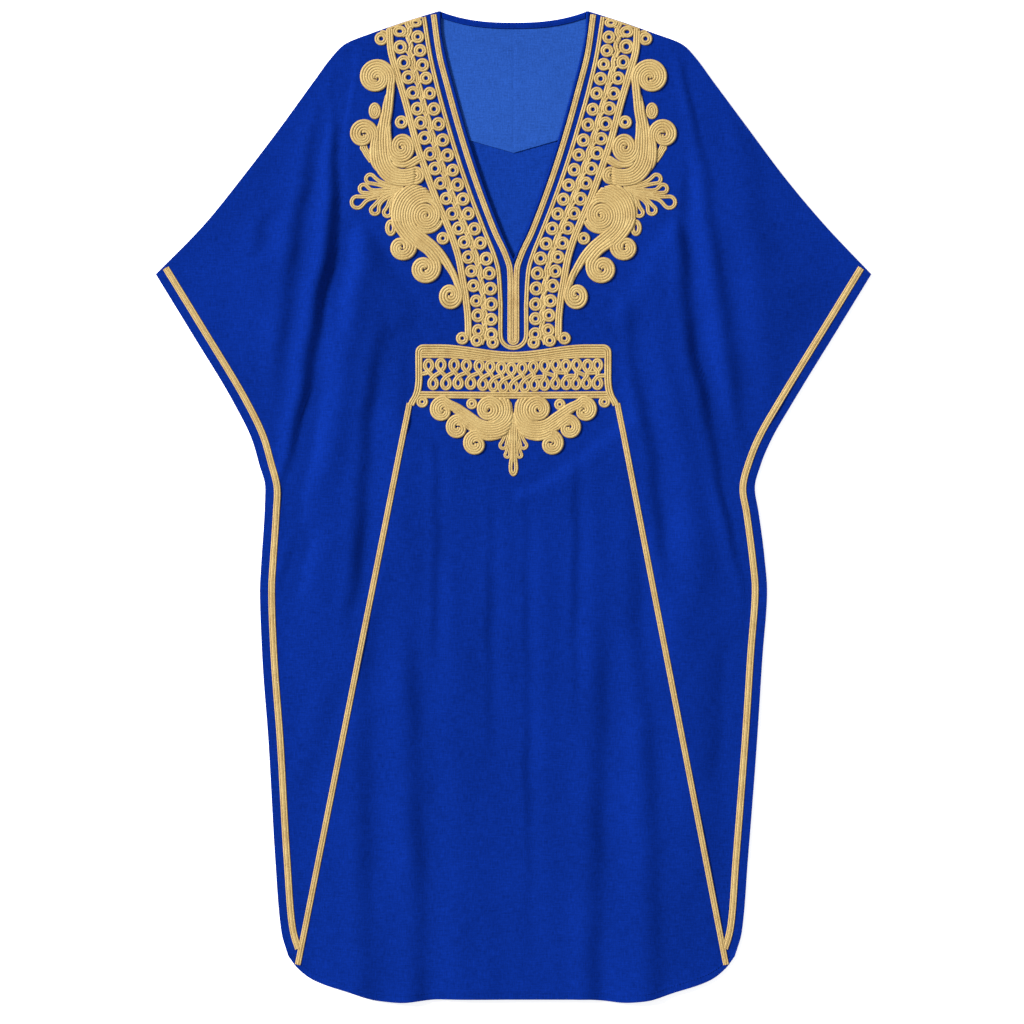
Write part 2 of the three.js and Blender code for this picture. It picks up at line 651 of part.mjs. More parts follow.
// How far down some of the rings of each column are; the others lie evenly between.
const OUTER_RINGS = [{ ring: 0, down: 27 }, { ring: 4, down: 107 }, { ring: 13, down: 283 },
  { ring: 16, down: 338 }, { ring: 20, down: 415 }];
const INNER_RINGS = [{ ring: 0, down: 15.5 }, { ring: 4, down: 88 }, { ring: 10, down: 207 },
  { ring: 13, down: 263 }, { ring: 16, down: 322 }, { ring: 21, down: 420 }];

function bandRings() {
  return {
    outer: ringCentres(OUTER_BORDER, OUTER_OFFSET, OUTER_RINGS),
    inner: ringCentres(INNER_BORDER, INNER_OFFSET, INNER_RINGS),
  };
}

// The belt's upper edge sags towards the middle.
function beltTop(out) {
  const sag = 1 - smooth(Math.abs(out) / (BELT_SAG_REACH * BELT.half));
  return BELT.topEnds + sag * (BELT.topMiddle - BELT.topEnds);
}

// The band's foot: points along the belt's upper edge, then angles round the border's U.
const FOOT_OUTS = [48, 34, 20];
const FOOT_ANGLES = [0.9, 0.6, 0.3, 0];

function bandOutline(side, grow) {
  const innerEdge = INNER_BORDER_WIDTH / 2 + SEAM;
  const outerEdge = OUTER_BORDER_WIDTH / 2 + grow;
  const outline = OUTER_BORDER.map((row) => [side * (row.half + outerEdge), toY(row.down)]);
  for (const out of [OUTER_BORDER.at(-1).half + outerEdge, ...FOOT_OUTS]) {
    outline.push([side * out, toY(beltTop(out) - SEAM)]);
  }
  const radius = INNER_BORDER.at(-1).half;
  const centre = INNER_BORDER_END - radius;
  for (const angle of FOOT_ANGLES) {
    const reach = radius + innerEdge;
    outline.push([side * reach * Math.cos(angle), toY(centre + reach * Math.sin(angle))]);
  }
  for (const row of [...INNER_BORDER].reverse()) {
    outline.push([side * (row.half + innerEdge), toY(row.down)]);
  }
  return side < 0 ? outline : outline.reverse();
}

const GAP_PLACE = 4.6;            // gap's middle, from the rings' middle line

// The openings of the band: the rings' eyes and the gaps between ring and border.
function bandHoles(side) {
  const holes = [];
  const { outer, inner } = bandRings();
  const columns = [
    { rings: outer, towards: 1 },
    { rings: inner, towards: -1 },
  ];
  for (const { rings, towards } of columns) {
    rings.forEach((ring, i) => {
      holes.push(roundOutline(side * ring.out, toY(ring.down), RING_HOLE, HOLE_SIDES, HOLE_TURN));
      if (i + 1 === rings.length) return;
      const next = rings[i + 1];
      const out = (ring.out + next.out) / 2 + towards * GAP_PLACE;
      const tipTurn = (side * towards > 0 ? Math.PI : 0) + HOLE_TURN;
      const gapDown = (ring.down + next.down) / 2;
      holes.push(roundOutline(side * out, toY(gapDown), GAP_RADIUS, 3, tipTurn));
    });
  }
  return holes;
}

function loopBand(side) {
  let band = toManifold(plate(bandOutline(side, 0), bandHoles(side), TRIM_BOTTOM, CORD_HEIGHT));
  for (const ring of BAND_RINGS) band = band.add(ringSolid(ring, side));
  return fromManifold(band);
}

// A block of a given outline that cuts right through the embroidery.
function cutter(outline) {
  const block = plate(outline, [], TRIM_BOTTOM - CUT_CLEAR, CORD_HEIGHT + 2 * CUT_CLEAR);
  return toManifold(block);
}

function scroll(side) {
  let solid = null;
  const add = (piece) => { solid = solid ? solid.add(piece) : piece; };
  for (const stroke of SCROLL_STROKES) add(strokeSolid(stroke, side));
  for (const coil of SCROLL_COILS) add(coilSolid(coil, side));
  for (const ring of SCROLL_RINGS) add(ringSolid(ring, side));
  solid = solid.subtract(cutter(bandOutline(side, SEAM)));
  for (const ring of BAND_RINGS) {
    const outline = roundOutline(side * ring.out, toY(ring.down), ring.radius + SEAM, RING_SIDES);
    solid = solid.subtract(cutter(outline));
  }
  return fromManifold(solid);
}

// The belt's outline, with its sagging top edge and round upper corners.
const BELT_TOP_STEPS = 10;
const CORNER_ANGLES = [60, 30, 0];

function beltOutline(grow) {
  const outline = [];
  const half = BELT.half + grow;
  for (let i = 0; i <= BELT_TOP_STEPS; i += 1) {
    const x = (half - BELT.corner) * (2 * i / BELT_TOP_STEPS - 1);
    outline.push([x, toY(beltTop(x) - grow)]);
  }
  for (const angle of CORNER_ANGLES) {
    const turn = THREE.MathUtils.degToRad(angle);
    outline.push([half - BELT.corner * (1 - Math.cos(turn)),
      toY(BELT.topEnds + BELT.corner - grow - BELT.corner * Math.sin(turn))]);
  }
  outline.push([half, toY(BELT.bottom + grow)], [-half, toY(BELT.bottom + grow)]);
  for (const angle of [...CORNER_ANGLES].reverse()) {
    const turn = THREE.MathUtils.degToRad(angle);
    outline.push([-half + BELT.corner * (1 - Math.cos(turn)),
      toY(BELT.topEnds + BELT.corner - grow - BELT.corner * Math.sin(turn))]);
  }
  return outline.reverse();
}

function beltRings() {
  const row = (loops, down) => Array.from({ length: loops.at(-1).ring + 1 }, (_, i) => {
    const x = readTable(loops, 'ring', i, 'x');
    return { x, down: down + BELT.rowSag * (1 - smooth(Math.abs(x) / BELT.sagReach)) };
  });
  return { upper: row(UPPER_LOOPS, BELT.upperRow), lower: row(LOWER_LOOPS, BELT.lowerRow) };
}

function beltPanel() {
  const { upper, lower } = beltRings();
  const holes = [];
  for (const { rows, towards } of [{ rows: upper, towards: -1 }, { rows: lower, towards: 1 }]) {
    rows.forEach(({ x, down }, i) => {
      holes.push(roundOutline(x, toY(down), RING_HOLE, HOLE_SIDES, HOLE_TURN));
      if (i + 1 === rows.length) return;
      const gapY = toY((down + rows[i + 1].down) / 2 + towards * GAP_PLACE);
      const tipTurn = (towards * Math.PI) / 2 + HOLE_TURN;
      const gapX = (x + rows[i + 1].x) / 2;
      holes.push(roundOutline(gapX, gapY, BELT_GAP_RADIUS, 3, tipTurn));
    });
  }
  let solid = toManifold(plate(beltOutline(0), holes, TRIM_BOTTOM, CORD_HEIGHT));
  for (const side of [-1, 1]) solid = solid.add(ringSolid(BELT_CORNER_RING, side));
  return fromManifold(solid);
}

function beltDrop() {
  let solid = ringSolid({ out: 0, ...DROP_END }, 1).add(strokeSolid(DROP_TIP, 1));
  const [foot, head] = DROP_STEM;
  const stem = [[-foot.half, toY(foot.down)], [foot.half, toY(foot.down)],
    [head.half, toY(head.down)], [-head.half, toY(head.down)]];
  solid = solid.add(toManifold(plate(stem, [], TRIM_BOTTOM, CORD_HEIGHT)));
  for (const side of [-1, 1]) {
    for (const stroke of DROP_STROKES) solid = solid.add(strokeSolid(stroke, side));
    for (const coil of DROP_COILS) solid = solid.add(coilSolid(coil, side));
    solid = solid.add(coilSolid(DROP_SMALL, side));
  }
  for (const ring of DROP_RINGS) solid = solid.add(ringSolid(ring, ring.side));
  return fromManifold(solid.subtract(cutter(beltOutline(SEAM))));
}

// ---- braids of skirt, cuffs and sides ----------------------------------------------
// Underside of a braid on the front, clear of the cloth at both edges and between.
const ACROSS_SHARES = [0, 0.25, 0.5, 0.75, 1];

function braidBase(left, right) {
  const heights = ACROSS_SHARES.map((share) => {
    const x = left[0] + share * (right[0] - left[0]);
    const y = left[1] + share * (right[1] - left[1]);
    return liftAt(x, LENGTH / 2 - y);
  });
  return FRONT_BOTTOM + Math.max(...heights) + CLOTH + SEAM;
}

function skirtBraid(side) {
  const { topDown, topOut, endDown } = SKIRT_BRAID;
  const endOut = side < 0 ? SKIRT_BRAID.left : SKIRT_BRAID.right;
  const stations = [];
  for (let i = 0; i <= SKIRT_BRAID_STEPS; i += 1) {
    const share = i / SKIRT_BRAID_STEPS;
    const x = side * (topOut + share * (endOut - topOut));
    const y = toY(topDown + share * (endDown - topDown));
    const left = [x - side * BRAID_WIDTH / 2, y];
    const right = [x + side * BRAID_WIDTH / 2, y];
    stations.push({ left, right, z: braidBase(left, right) });
  }
  return strip(stations, CORD_HEIGHT);
}

// Middle line of the side braid: the outline from the cuff's tip down, moved in, and cut
// short beside the skirt braid.
function sideBraidLine(side) {
  const column = side < 0 ? 'left' : 'right';
  const tip = SIDE_EDGE.findIndex((row) => row.down === CUFF_TIP_DOWN);
  const rows = SIDE_EDGE.slice(tip);
  const line = rows.map((row, i) => {
    const before = rows[Math.max(0, i - 1)];
    const after = rows[Math.min(rows.length - 1, i + 1)];
    const along = new THREE.Vector2(after[column] - before[column], after.down - before.down);
    along.normalize();
    return new THREE.Vector2(row[column] - along.y * BRAID_INSET,
      row.down + along.x * BRAID_INSET);
  });
  const [above, last] = line.slice(-2);
  last.lerpVectors(above, last.clone(), (SIDE_BRAID_END - above.y) / (last.y - above.y));
  return line;
}

function sideBraid(side) {
  const line = sideBraidLine(side);
  const reach = BRAID_WIDTH / 2;
  const stations = line.map((point, i) => {
    const before = line[Math.max(0, i - 1)];
    const after = line[Math.min(line.length - 1, i + 1)];
    const along = after.clone().sub(before).normalize();
    const edge = (away) => [side * (point.x + along.y * away), toY(point.y - along.x * away)];
    const left = edge(-reach);
    const right = edge(reach);
    return { left, right, z: braidBase(left, right) };
  });
  return strip(stations, CORD_HEIGHT);
}

// A strip made for one side is turned inside out on the other, so its faces are flipped.
function facingOut(geometry) {
  const positions = geometry.getAttribute('position');
  const index = geometry.getIndex();
  const a = new THREE.Vector3();
  const b = new THREE.Vector3();
  const c = new THREE.Vector3();
  let volume = 0;
  for (let i = 0; i < index.count; i += 3) {
    a.fromBufferAttribute(positions, index.getX(i));
    b.fromBufferAttribute(positions, index.getX(i + 1));
    c.fromBufferAttribute(positions, index.getX(i + 2));
    volume += a.dot(b.cross(c));
  }
  if (volume < 0) {
    for (let i = 0; i < index.count; i += 3) {
      const second = index.getX(i + 1);
      index.setX(i + 1, index.getX(i + 2));
      index.setX(i + 2, second);
    }
  }
  return geometry;
}

// ---- the kaftan -----------------------------------------------------------------
const kaftan = new THREE.Group();
const pieces = [
  ['back_panel', backPanel(), 'cloth'],
  ['front_panel', frontPanel(), 'cloth'],
  ['back_neck_facing', backNeckFacing(), 'facing'],
  ['back_neck_binding', backNeckBinding(), 'cloth'],
  ['front_neck_binding', frontNeckBinding(), 'cloth'],
  ['neck_braid', neckBraid(), 'gold'],
  ['inner_border', innerBorder(), 'gold'],
  ['belt_panel', beltPanel(), 'gold'],
  ['belt_drop', beltDrop(), 'gold'],
];
for (const [word, side] of [['left', -1], ['right', 1]]) {
  pieces.push([`loop_band_${word}`, loopBand(side), 'gold']);
  pieces.push([`scroll_${word}`, scroll(side), 'gold']);
  pieces.push([`skirt_braid_${word}`, skirtBraid(side), 'gold']);
  pieces.push([`side_braid_${word}`, sideBraid(side), 'gold']);
}
for (const [name, geometry, finish] of pieces) {
  kaftan.add(named(name, facingOut(geometry), finish));
}

export default kaftan;
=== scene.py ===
"""A kaftan dress of blue plain-weave cloth with gold cord embroidery, laid flat on a pale floor.

Sizes in the tables are millimetres. "out" is the distance from the garment's centre line and
"down" the distance below the neck points. Meshes are made in metres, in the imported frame.
"""

import math

import bmesh
import bpy
import numpy as np
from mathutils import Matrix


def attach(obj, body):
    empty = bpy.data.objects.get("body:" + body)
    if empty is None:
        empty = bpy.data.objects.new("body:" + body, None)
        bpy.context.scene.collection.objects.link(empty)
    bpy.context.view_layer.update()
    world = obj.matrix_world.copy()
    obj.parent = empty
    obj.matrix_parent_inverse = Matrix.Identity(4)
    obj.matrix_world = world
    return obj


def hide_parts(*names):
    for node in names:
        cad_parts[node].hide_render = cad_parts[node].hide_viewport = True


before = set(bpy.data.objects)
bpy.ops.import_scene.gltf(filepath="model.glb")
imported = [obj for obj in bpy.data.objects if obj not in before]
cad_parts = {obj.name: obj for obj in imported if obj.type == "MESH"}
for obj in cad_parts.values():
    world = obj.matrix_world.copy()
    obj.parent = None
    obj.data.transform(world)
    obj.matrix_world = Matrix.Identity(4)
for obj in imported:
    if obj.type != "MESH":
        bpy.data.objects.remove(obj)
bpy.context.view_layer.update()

# ---- camera, light and floor -------------------------------------------------------------
# The garment lies on a pale floor and is looked at from straight above, through a long lens.
# One large soft lamp stands to the upper left, and a paler one to the right fills its shade.
MM = 0.001
LENGTH = 1289.0
SENSOR = 36.0
LENS = 85.0
VIEW_WIDTH = 1331.2
VIEW_CENTRE = (-1.95, -6.8)
VIEW_LEVEL = 5.0
camera_height = VIEW_WIDTH * LENS / SENSOR + VIEW_LEVEL
bpy.ops.object.camera_add(
    location=(VIEW_CENTRE[0] * MM, VIEW_CENTRE[1] * MM, camera_height * MM), rotation=(0, 0, 0))
camera = bpy.context.object
camera.data.sensor_width = SENSOR
camera.data.lens = LENS
camera.data.clip_end = 20.0
bpy.context.scene.camera = camera
bpy.context.scene.view_settings.view_transform = "Standard"


def table(columns, *rows):
    """Rows with named columns."""
    return [dict(zip(columns.split(), row)) for row in rows]


LAMPS = table(
    "place size power colour",
    ((-20.0, 10.0, 11.5), 5.6, 14600, (1.0, 0.985, 0.965)),
    ((5.0, -0.6, 7.0), 4.0, 170, (0.97, 0.985, 1.0)))
for lamp in LAMPS:
    x, y, z = lamp["place"]
    tilt = math.atan2(math.hypot(x, y), z)
    turn = math.atan2(y, x) + math.pi / 2
    bpy.ops.object.light_add(type="AREA", location=lamp["place"], rotation=(tilt, 0, turn))
    light = bpy.context.object.data
    light.shape = "DISK"
    light.size = lamp["size"]
    light.energy = lamp["power"]
    light.color = lamp["colour"]

world = bpy.data.worlds.new("studio")
world.use_nodes = True
sky = world.node_tree.nodes["Background"]
sky.inputs["Color"].default_value = (0.96, 0.98, 1.0, 1)
sky.inputs["Strength"].default_value = 0.25
bpy.context.scene.world = world

bpy.ops.mesh.primitive_plane_add(size=40.0, location=(0, 0, -0.0002))
floor = bpy.context.object
floor.name = "floor"
pale = bpy.data.materials.new("pale floor")
pale.use_nodes = True
pale_shader = pale.node_tree.nodes["Principled BSDF"]
pale_shader.inputs["Base Color"].default_value = (0.93, 0.93, 0.93, 1)
pale_shader.inputs["Roughness"].default_value = 0.9
pale_shader.inputs["Emission Color"].default_value = (1, 1, 1, 1)
pale_shader.inputs["Emission Strength"].default_value = 0.6
floor.data.materials.append(pale)

# ---- back panel --------------------------------------------------------------------------
# The back with its sleeves, cut in one from blue plain-weave cloth, with a shallow scoop at
# the neck. It lies flat on the floor with its right side down, and carries everything else.
CLOTH = 1.2
SEAM = 0.3
BACK_TOP = CLOTH
SIDE_EDGE = table(
    "down left right",
    (0, 97.5, 97.5), (12, 137, 136), (28, 183, 181), (43, 220, 220), (59, 236, 236),
    (90, 259, 259), (152, 304, 305), (215, 352, 352), (277, 402, 404), (342, 465.5, 465.5),
    (418, 419, 419), (511, 363, 362), (558, 340, 335), (589, 331, 322), (620, 323, 314),
    (652, 324, 319), (714, 328, 327), (753, 330, 330), (839, 327, 324), (948, 319, 317),
    (1104, 310, 305), (1198, 302, 297), (1229, 293, 288))
SIDES = (("left", -1), ("right", 1))
CUFF_TIP = 342.0
CORNER = 1229.0
HEM_BEND = 1026.0
HEM_EDGE = table(
    "share down",
    (0.0, 1284.8), (0.33, 1284.8), (0.41, 1286.7), (0.5, 1289.0), (0.6, 1286.7), (0.73, 1275.7),
    (0.89, 1260.0), (0.96, 1244.5), (1.0, 1229.0))
NECK_HALF = 94.5
SCOOP = 14.3
SCOOP_POWER = 2.5


def smooth(value):
    """Soft step from 0 to 1."""
    share = np.clip(value, 0.0, 1.0)
    return share * share * (3 - 2 * share)


def curve(rows, key, column, at, breaks=()):
    """Smooth value of a table's column at the given places, with a corner at each break."""
    places = np.array([row[key] for row in rows], float)
    values = np.array([row[column] for row in rows], float)
    run = np.diff(places)
    slope = np.diff(values) / run
    start = slope.copy()
    end = slope.copy()
    for i in range(1, len(places) - 1):
        if places[i] in breaks:
            continue
        before, after = slope[i - 1], slope[i]
        tangent = 0.0
        if before * after > 0:
            share_before = 2 * run[i] + run[i - 1]
            share_after = run[i] + 2 * run[i - 1]
            tangent = (share_before + share_after) / (share_before / before + share_after / after)
        end[i - 1] = tangent
        start[i] = tangent
    at = np.asarray(at, float)
    part = np.clip(np.searchsorted(places, at, side="right") - 1, 0, len(run) - 1)
    t = np.clip((at - places[part]) / run[part], 0.0, 1.0)
    width = run[part]
    rise = values[part + 1] - values[part]
    bend_in = start[part] * width - rise
    bend_out = rise - end[part] * width
    return values[part] + t * rise + t * (1 - t) * ((1 - t) * bend_in + t * bend_out)


def side_at(down, side):
    """Distance from the centre line to the shoulder, cuff or side edge."""
    return curve(SIDE_EDGE, "down", "left" if side < 0 else "right", down, breaks=(CUFF_TIP,))


def panel_grid(downs, columns, inner_at, side):
    """Points of one half of a panel, as arrays of x and down, a row for each depth."""
    share = np.linspace(0.0, 1.0, columns + 1)[None, :]
    rows = np.asarray(downs, float)[:, None]
    inner = inner_at(rows)
    outer = np.maximum(side_at(rows, side), inner + 3.0)
    out = inner + share * (outer - inner)
    bend = np.clip((rows - HEM_BEND) / (CORNER - HEM_BEND), 0.0, None)
    hem = curve(HEM_EDGE, "share", "down", share)
    down = np.where(rows > HEM_BEND, HEM_BEND + bend * (hem - HEM_BEND), rows)
    return side * out, down * np.ones_like(out)


def grid_faces(rows, columns, first, flip):
    """Quads between the rows and columns of a grid whose points start at index first."""
    corner = first + np.arange(rows - 1)[:, None] * columns + np.arange(columns - 1)[None, :]
    quads = np.stack([corner, corner + 1, corner + columns + 1, corner + columns], axis=-1)
    quads = quads.reshape(-1, 4)
    return quads[:, ::-1] if flip else quads


def run_along(line):
    """How far each point of a line lies along it in plan."""
    return np.concatenate([[0], np.cumsum(np.hypot(*np.diff(line[:, :2], axis=0).T))])


def alone(piece):
    """Makes a piece the only one selected and active."""
    bpy.ops.object.select_all(action="DESELECT")
    piece.select_set(True)
    bpy.context.view_layer.objects.active = piece


def mesh_piece(name, points, faces, uvs=None):
    """A new object from points in millimetres, faces and, for each face corner, a UV pair."""
    mesh = bpy.data.meshes.new(name)
    mesh.from_pydata((np.asarray(points) * MM).tolist(), [], [list(face) for face in faces])
    if uvs is not None:
        layer = mesh.uv_layers.new(name="along")
        layer.data.foreach_set("uv", np.asarray(uvs, np.float32).ravel())
    piece = bpy.data.objects.new(name, mesh)
    bpy.context.scene.collection.objects.link(piece)
    return piece


def cloth_sheet(name, halves, columns, thickness, material):
    """Joins the halves of a panel at the centre line and gives the cloth its thickness."""
    points = []
    faces = []
    for x, down, z, side in halves:
        first = sum(len(part) for part in points)
        points.append(np.stack([x, LENGTH / 2 - down, z], axis=-1).reshape(-1, 3))
        faces.extend(grid_faces(x.shape[0], columns + 1, first, side > 0).tolist())
    piece = mesh_piece(name, np.concatenate(points), faces)
    alone(piece)
    bpy.ops.object.mode_set(mode="EDIT")
    bpy.ops.mesh.select_all(action="SELECT")
    bpy.ops.mesh.remove_doubles(threshold=0.01 * MM)
    bpy.ops.mesh.normals_make_consistent(inside=False)
    bpy.ops.object.mode_set(mode="OBJECT")
    upward = sum(face.normal.z * face.area for face in piece.data.polygons)
    if upward < 0:
        piece.data.flip_normals()
    wall = piece.modifiers.new("wall", "SOLIDIFY")
    wall.thickness = thickness * MM
    wall.offset = -1.0
    bpy.ops.object.modifier_apply(modifier="wall")
    bpy.ops.object.shade_smooth_by_angle(angle=math.radians(50))
    piece.data.materials.append(material)
    return piece


def add_node(tree, kind, values=(), **settings):
    """A new node with its settings, and its inputs set or linked in order of their names."""
    node = tree.nodes.new(kind)
    for key, value in settings.items():
        setattr(node, key, value)
    for socket, value in dict(values).items():
        if isinstance(value, bpy.types.NodeSocket):
            tree.links.new(value, node.inputs[socket])
        else:
            node.inputs[socket].default_value = value
    return node


def new_group(name, inputs, outputs):
    """An empty shader group with its sockets and its two end nodes."""
    group = bpy.data.node_groups.new(name, "ShaderNodeTree")
    for label, kind, value in inputs:
        socket = group.interface.new_socket(name=label, in_out="INPUT", socket_type=kind)
        socket.default_value = value
    for label, kind in outputs:
        group.interface.new_socket(name=label, in_out="OUTPUT", socket_type=kind)
    return group, group.nodes.new("NodeGroupInput"), group.nodes.new("NodeGroupOutput")


def calc(tree, operation, *values, clamp=False):
    """The result of a math node for values or sockets."""
    node = add_node(tree, "ShaderNodeMath", enumerate(values), operation=operation,
                    use_clamp=clamp)
    return node.outputs[0]


def noise(tree, vector, scale, detail):
    """Soft noise from 0 to 1 at a place."""
    node = add_node(tree, "ShaderNodeTexNoise",
                    {"Vector": vector, "Scale": scale, "Detail": detail})
    return node.outputs["Fac"]


# Plain weave: warp and weft threads that go over and under, with slubs along both.
weave, weave_in, weave_out = new_group(
    "plain weave",
    [("Colour", "NodeSocketColor", (0.01, 0.05, 0.3, 1)), ("Thread", "NodeSocketFloat", 0.7),
     ("Slub", "NodeSocketFloat", 0.1)],
    [("Colour", "NodeSocketColor"), ("Height", "NodeSocketFloat")])
place = add_node(weave, "ShaderNodeTexCoord").outputs["Object"]
axes = add_node(weave, "ShaderNodeSeparateXYZ", {"Vector": place})
turns = calc(weave, "DIVIDE", math.pi / MM, weave_in.outputs["Thread"])
waves = [calc(weave, "SINE", calc(weave, "MULTIPLY", axes.outputs[axis], turns))
         for axis in ("X", "Y")]
over_under = calc(weave, "MULTIPLY", *waves)
slubs = []
for stretch in ((1100.0, 70.0, 1.0), (60.0, 1000.0, 1.0)):
    drawn = add_node(weave, "ShaderNodeVectorMath", {0: place, 1: stretch}, operation="MULTIPLY")
    slubs.append(noise(weave, drawn.outputs[0], 1.0, 2.0))
slub = calc(weave, "SUBTRACT", calc(weave, "ADD", *slubs), 1.0)
cloud = calc(weave, "SUBTRACT", noise(weave, place, 7.0, 3.0), 0.5)
fuzz = calc(weave, "SUBTRACT", noise(weave, place, 420.0, 2.0), 0.5)
soft_tone = calc(weave, "MULTIPLY_ADD", fuzz, 0.6, calc(weave, "MULTIPLY", cloud, 0.35))
tone = calc(weave, "ADD", calc(weave, "MULTIPLY", slub, weave_in.outputs["Slub"]), soft_tone)
brightness = calc(weave, "ADD", calc(weave, "MULTIPLY_ADD", over_under, 0.06, tone), 1.0)
toned = add_node(weave, "ShaderNodeVectorMath",
                 {0: weave_in.outputs["Colour"], "Scale": brightness}, operation="SCALE")
weave.links.new(toned.outputs[0], weave_out.inputs["Colour"])
weave.links.new(calc(weave, "MULTIPLY_ADD", slub, 1.4, over_under), weave_out.inputs["Height"])


def thread_material(name, group, values, bump):
    """A material whose colour and relief come from a shader group."""
    material = bpy.data.materials.new(name)
    material.use_nodes = True
    tree = material.node_tree
    shader = tree.nodes["Principled BSDF"]
    effect = add_node(tree, "ShaderNodeGroup", values, node_tree=group)
    relief = add_node(tree, "ShaderNodeBump", {"Height": effect.outputs["Height"],
                                               "Strength": bump, "Distance": 0.12 * MM})
    tree.links.new(effect.outputs["Colour"], shader.inputs["Base Color"])
    tree.links.new(relief.outputs["Normal"], shader.inputs["Normal"])
    return material, shader, effect


def cloth_material(name, colour, thread, slub_share):
    """Woven cloth with no shine."""
    values = {"Colour": (*colour, 1), "Thread": thread, "Slub": slub_share}
    material, shader, _ = thread_material(name, weave, values, 0.35)
    shader.inputs["Roughness"].default_value = 0.8
    shader.inputs["Specular IOR Level"].default_value = 0.0
    return material


blue_cloth = cloth_material("blue plain weave", (0.0024, 0.0195, 0.205), 0.7, 0.75)


def scoop_inner(rows):
    """How far out the back neck's scoop is at each depth."""
    share = np.clip(1 - rows / SCOOP, 0.0, 1.0)
    return NECK_HALF * share ** (1 / SCOOP_POWER)


BACK_COLUMNS = 44
back_downs = np.unique(np.concatenate([
    SCOOP * (1 - np.linspace(0.0, 1.0, 13) ** SCOOP_POWER), np.arange(20.0, CUFF_TIP, 8.0),
    np.arange(CUFF_TIP, CORNER, 8.0), [CORNER]]))
back_halves = []
for side in (-1, 1):
    x, down = panel_grid(back_downs, BACK_COLUMNS, scoop_inner, side)
    back_halves.append((x, down, np.full_like(x, BACK_TOP), side))
back_cloth = cloth_sheet("back_cloth", back_halves, BACK_COLUMNS, CLOTH, blue_cloth)
back_cloth.data.materials.append(
    cloth_material("blue weave, inner side", (0.0052, 0.034, 0.262), 0.7, 0.7))
for face in back_cloth.data.polygons:
    face.material_index = int(face.normal.z > 0.5)
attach(back_cloth, "root")
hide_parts("back_panel")

# ---- back neck facing --------------------------------------------------------------------
# A facing of lighter blue cloth inside the back of the neck, sewn round the scoop. Its lower
# edge is a shallow V, and a fine pressed line marks the centre of the back.
FACING = 1.0
FACING_BOTTOM = BACK_TOP + SEAM
FACING_TOP = FACING_BOTTOM + FACING
FACING_HALF = 92.5
FACING_BULGE = 14.0
FACING_CORNER = {"out": 84.0, "down": 160.0}
FACING_MIDDLE = 184.0
FACING_ROWS = 48
FACING_COLUMNS = 30
PRESSED_LINE = 1.2

facing_cloth = cloth_material("facing plain weave", (0.0178, 0.072, 0.345), 0.8, 0.6)


def facing_half(side):
    """Points of one half of the facing, between the scoop, its side edge and the V below."""
    share = np.linspace(0.0, 1.0, FACING_COLUMNS + 1)[None, :] ** 1.15
    fall = np.linspace(0.0, 1.0, FACING_ROWS + 1)[:, None]
    top_out = share * FACING_HALF
    top_down = 0.6 + SCOOP * (1 - (top_out / NECK_HALF) ** SCOOP_POWER)
    low_out = share * FACING_CORNER["out"]
    low_down = FACING_MIDDLE + share * (FACING_CORNER["down"] - FACING_MIDDLE)
    shoulder = np.sin(fall * math.pi) * FACING_BULGE * share ** 4
    out = top_out + fall * (low_out - top_out) + shoulder
    down = top_down + fall * (low_down - top_down)
    ripple = 0.10 * np.sin(down / 31) * np.cos(out / 23)
    hem = 0.18 * smooth((fall - 0.93) / 0.02) * smooth((1.0 - fall) / 0.01)
    pressed = -0.22 * np.exp(-((out / PRESSED_LINE) ** 2))
    z = FACING_TOP - 0.2 + ripple * smooth(fall * 6) + hem + pressed
    return side * out, down, z, side


facing_halves = [facing_half(side) for side in (-1, 1)]
neck_facing = cloth_sheet("neck_facing_cloth", facing_halves, FACING_COLUMNS, 0.7, facing_cloth)
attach(neck_facing, "root")
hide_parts("back_neck_facing")

# ---- back neck binding -------------------------------------------------------------------
# A bias strip of the blue cloth folded over the scooped edge of the back neck and stitched
# down on the facing. It is rounded over the edge and flat at its stitched side.
BACK_BINDING = 7.8
BINDING_HEIGHT = 1.0
STRIP_SHAPE = table(
    "across up",
    (0.0, 0.0), (0.0, 0.45), (0.06, 0.8), (0.2, 1.0), (0.5, 1.0), (0.74, 0.92), (0.82, 0.62),
    (0.88, 0.9), (0.96, 0.6), (1.0, 0.0))


def folded_strip(name, edge, other, base, height_mm, material, pucker=0.0):
    """A folded strip of cloth between its rounded edge and its stitched edge."""
    edge, other, base = np.asarray(edge), np.asarray(other), np.asarray(base)
    along = run_along(edge)
    rise = height_mm * (1 + pucker * np.sin(along * 2 * math.pi / 5.5))
    rings = []
    for row in STRIP_SHAPE:
        middle = edge + row["across"] * (other - edge)
        rings.append(np.column_stack([middle, base + row["up"] * rise]))
    points = np.stack(rings, axis=1)
    count, ring = points.shape[:2]
    faces = []
    for j in range(ring):
        k = (j + 1) % ring
        for i in range(count - 1):
            faces.append((i * ring + j, (i + 1) * ring + j, (i + 1) * ring + k, i * ring + k))
    faces.append(tuple(range(ring))[::-1])
    faces.append(tuple((count - 1) * ring + j for j in range(ring)))
    piece = mesh_piece(name, points.reshape(-1, 3), faces)
    return finished(piece, 60, material)


def finished(piece, smooth_to, material):
    """Turns the faces of every closed shell outwards, smooths them and gives the material."""
    shell = bmesh.new()
    shell.from_mesh(piece.data)
    bmesh.ops.recalc_face_normals(shell, faces=shell.faces)
    shell.to_mesh(piece.data)
    shell.free()
    alone(piece)
    bpy.ops.object.shade_smooth_by_angle(angle=math.radians(smooth_to))
    piece.data.materials.append(material)
    return piece


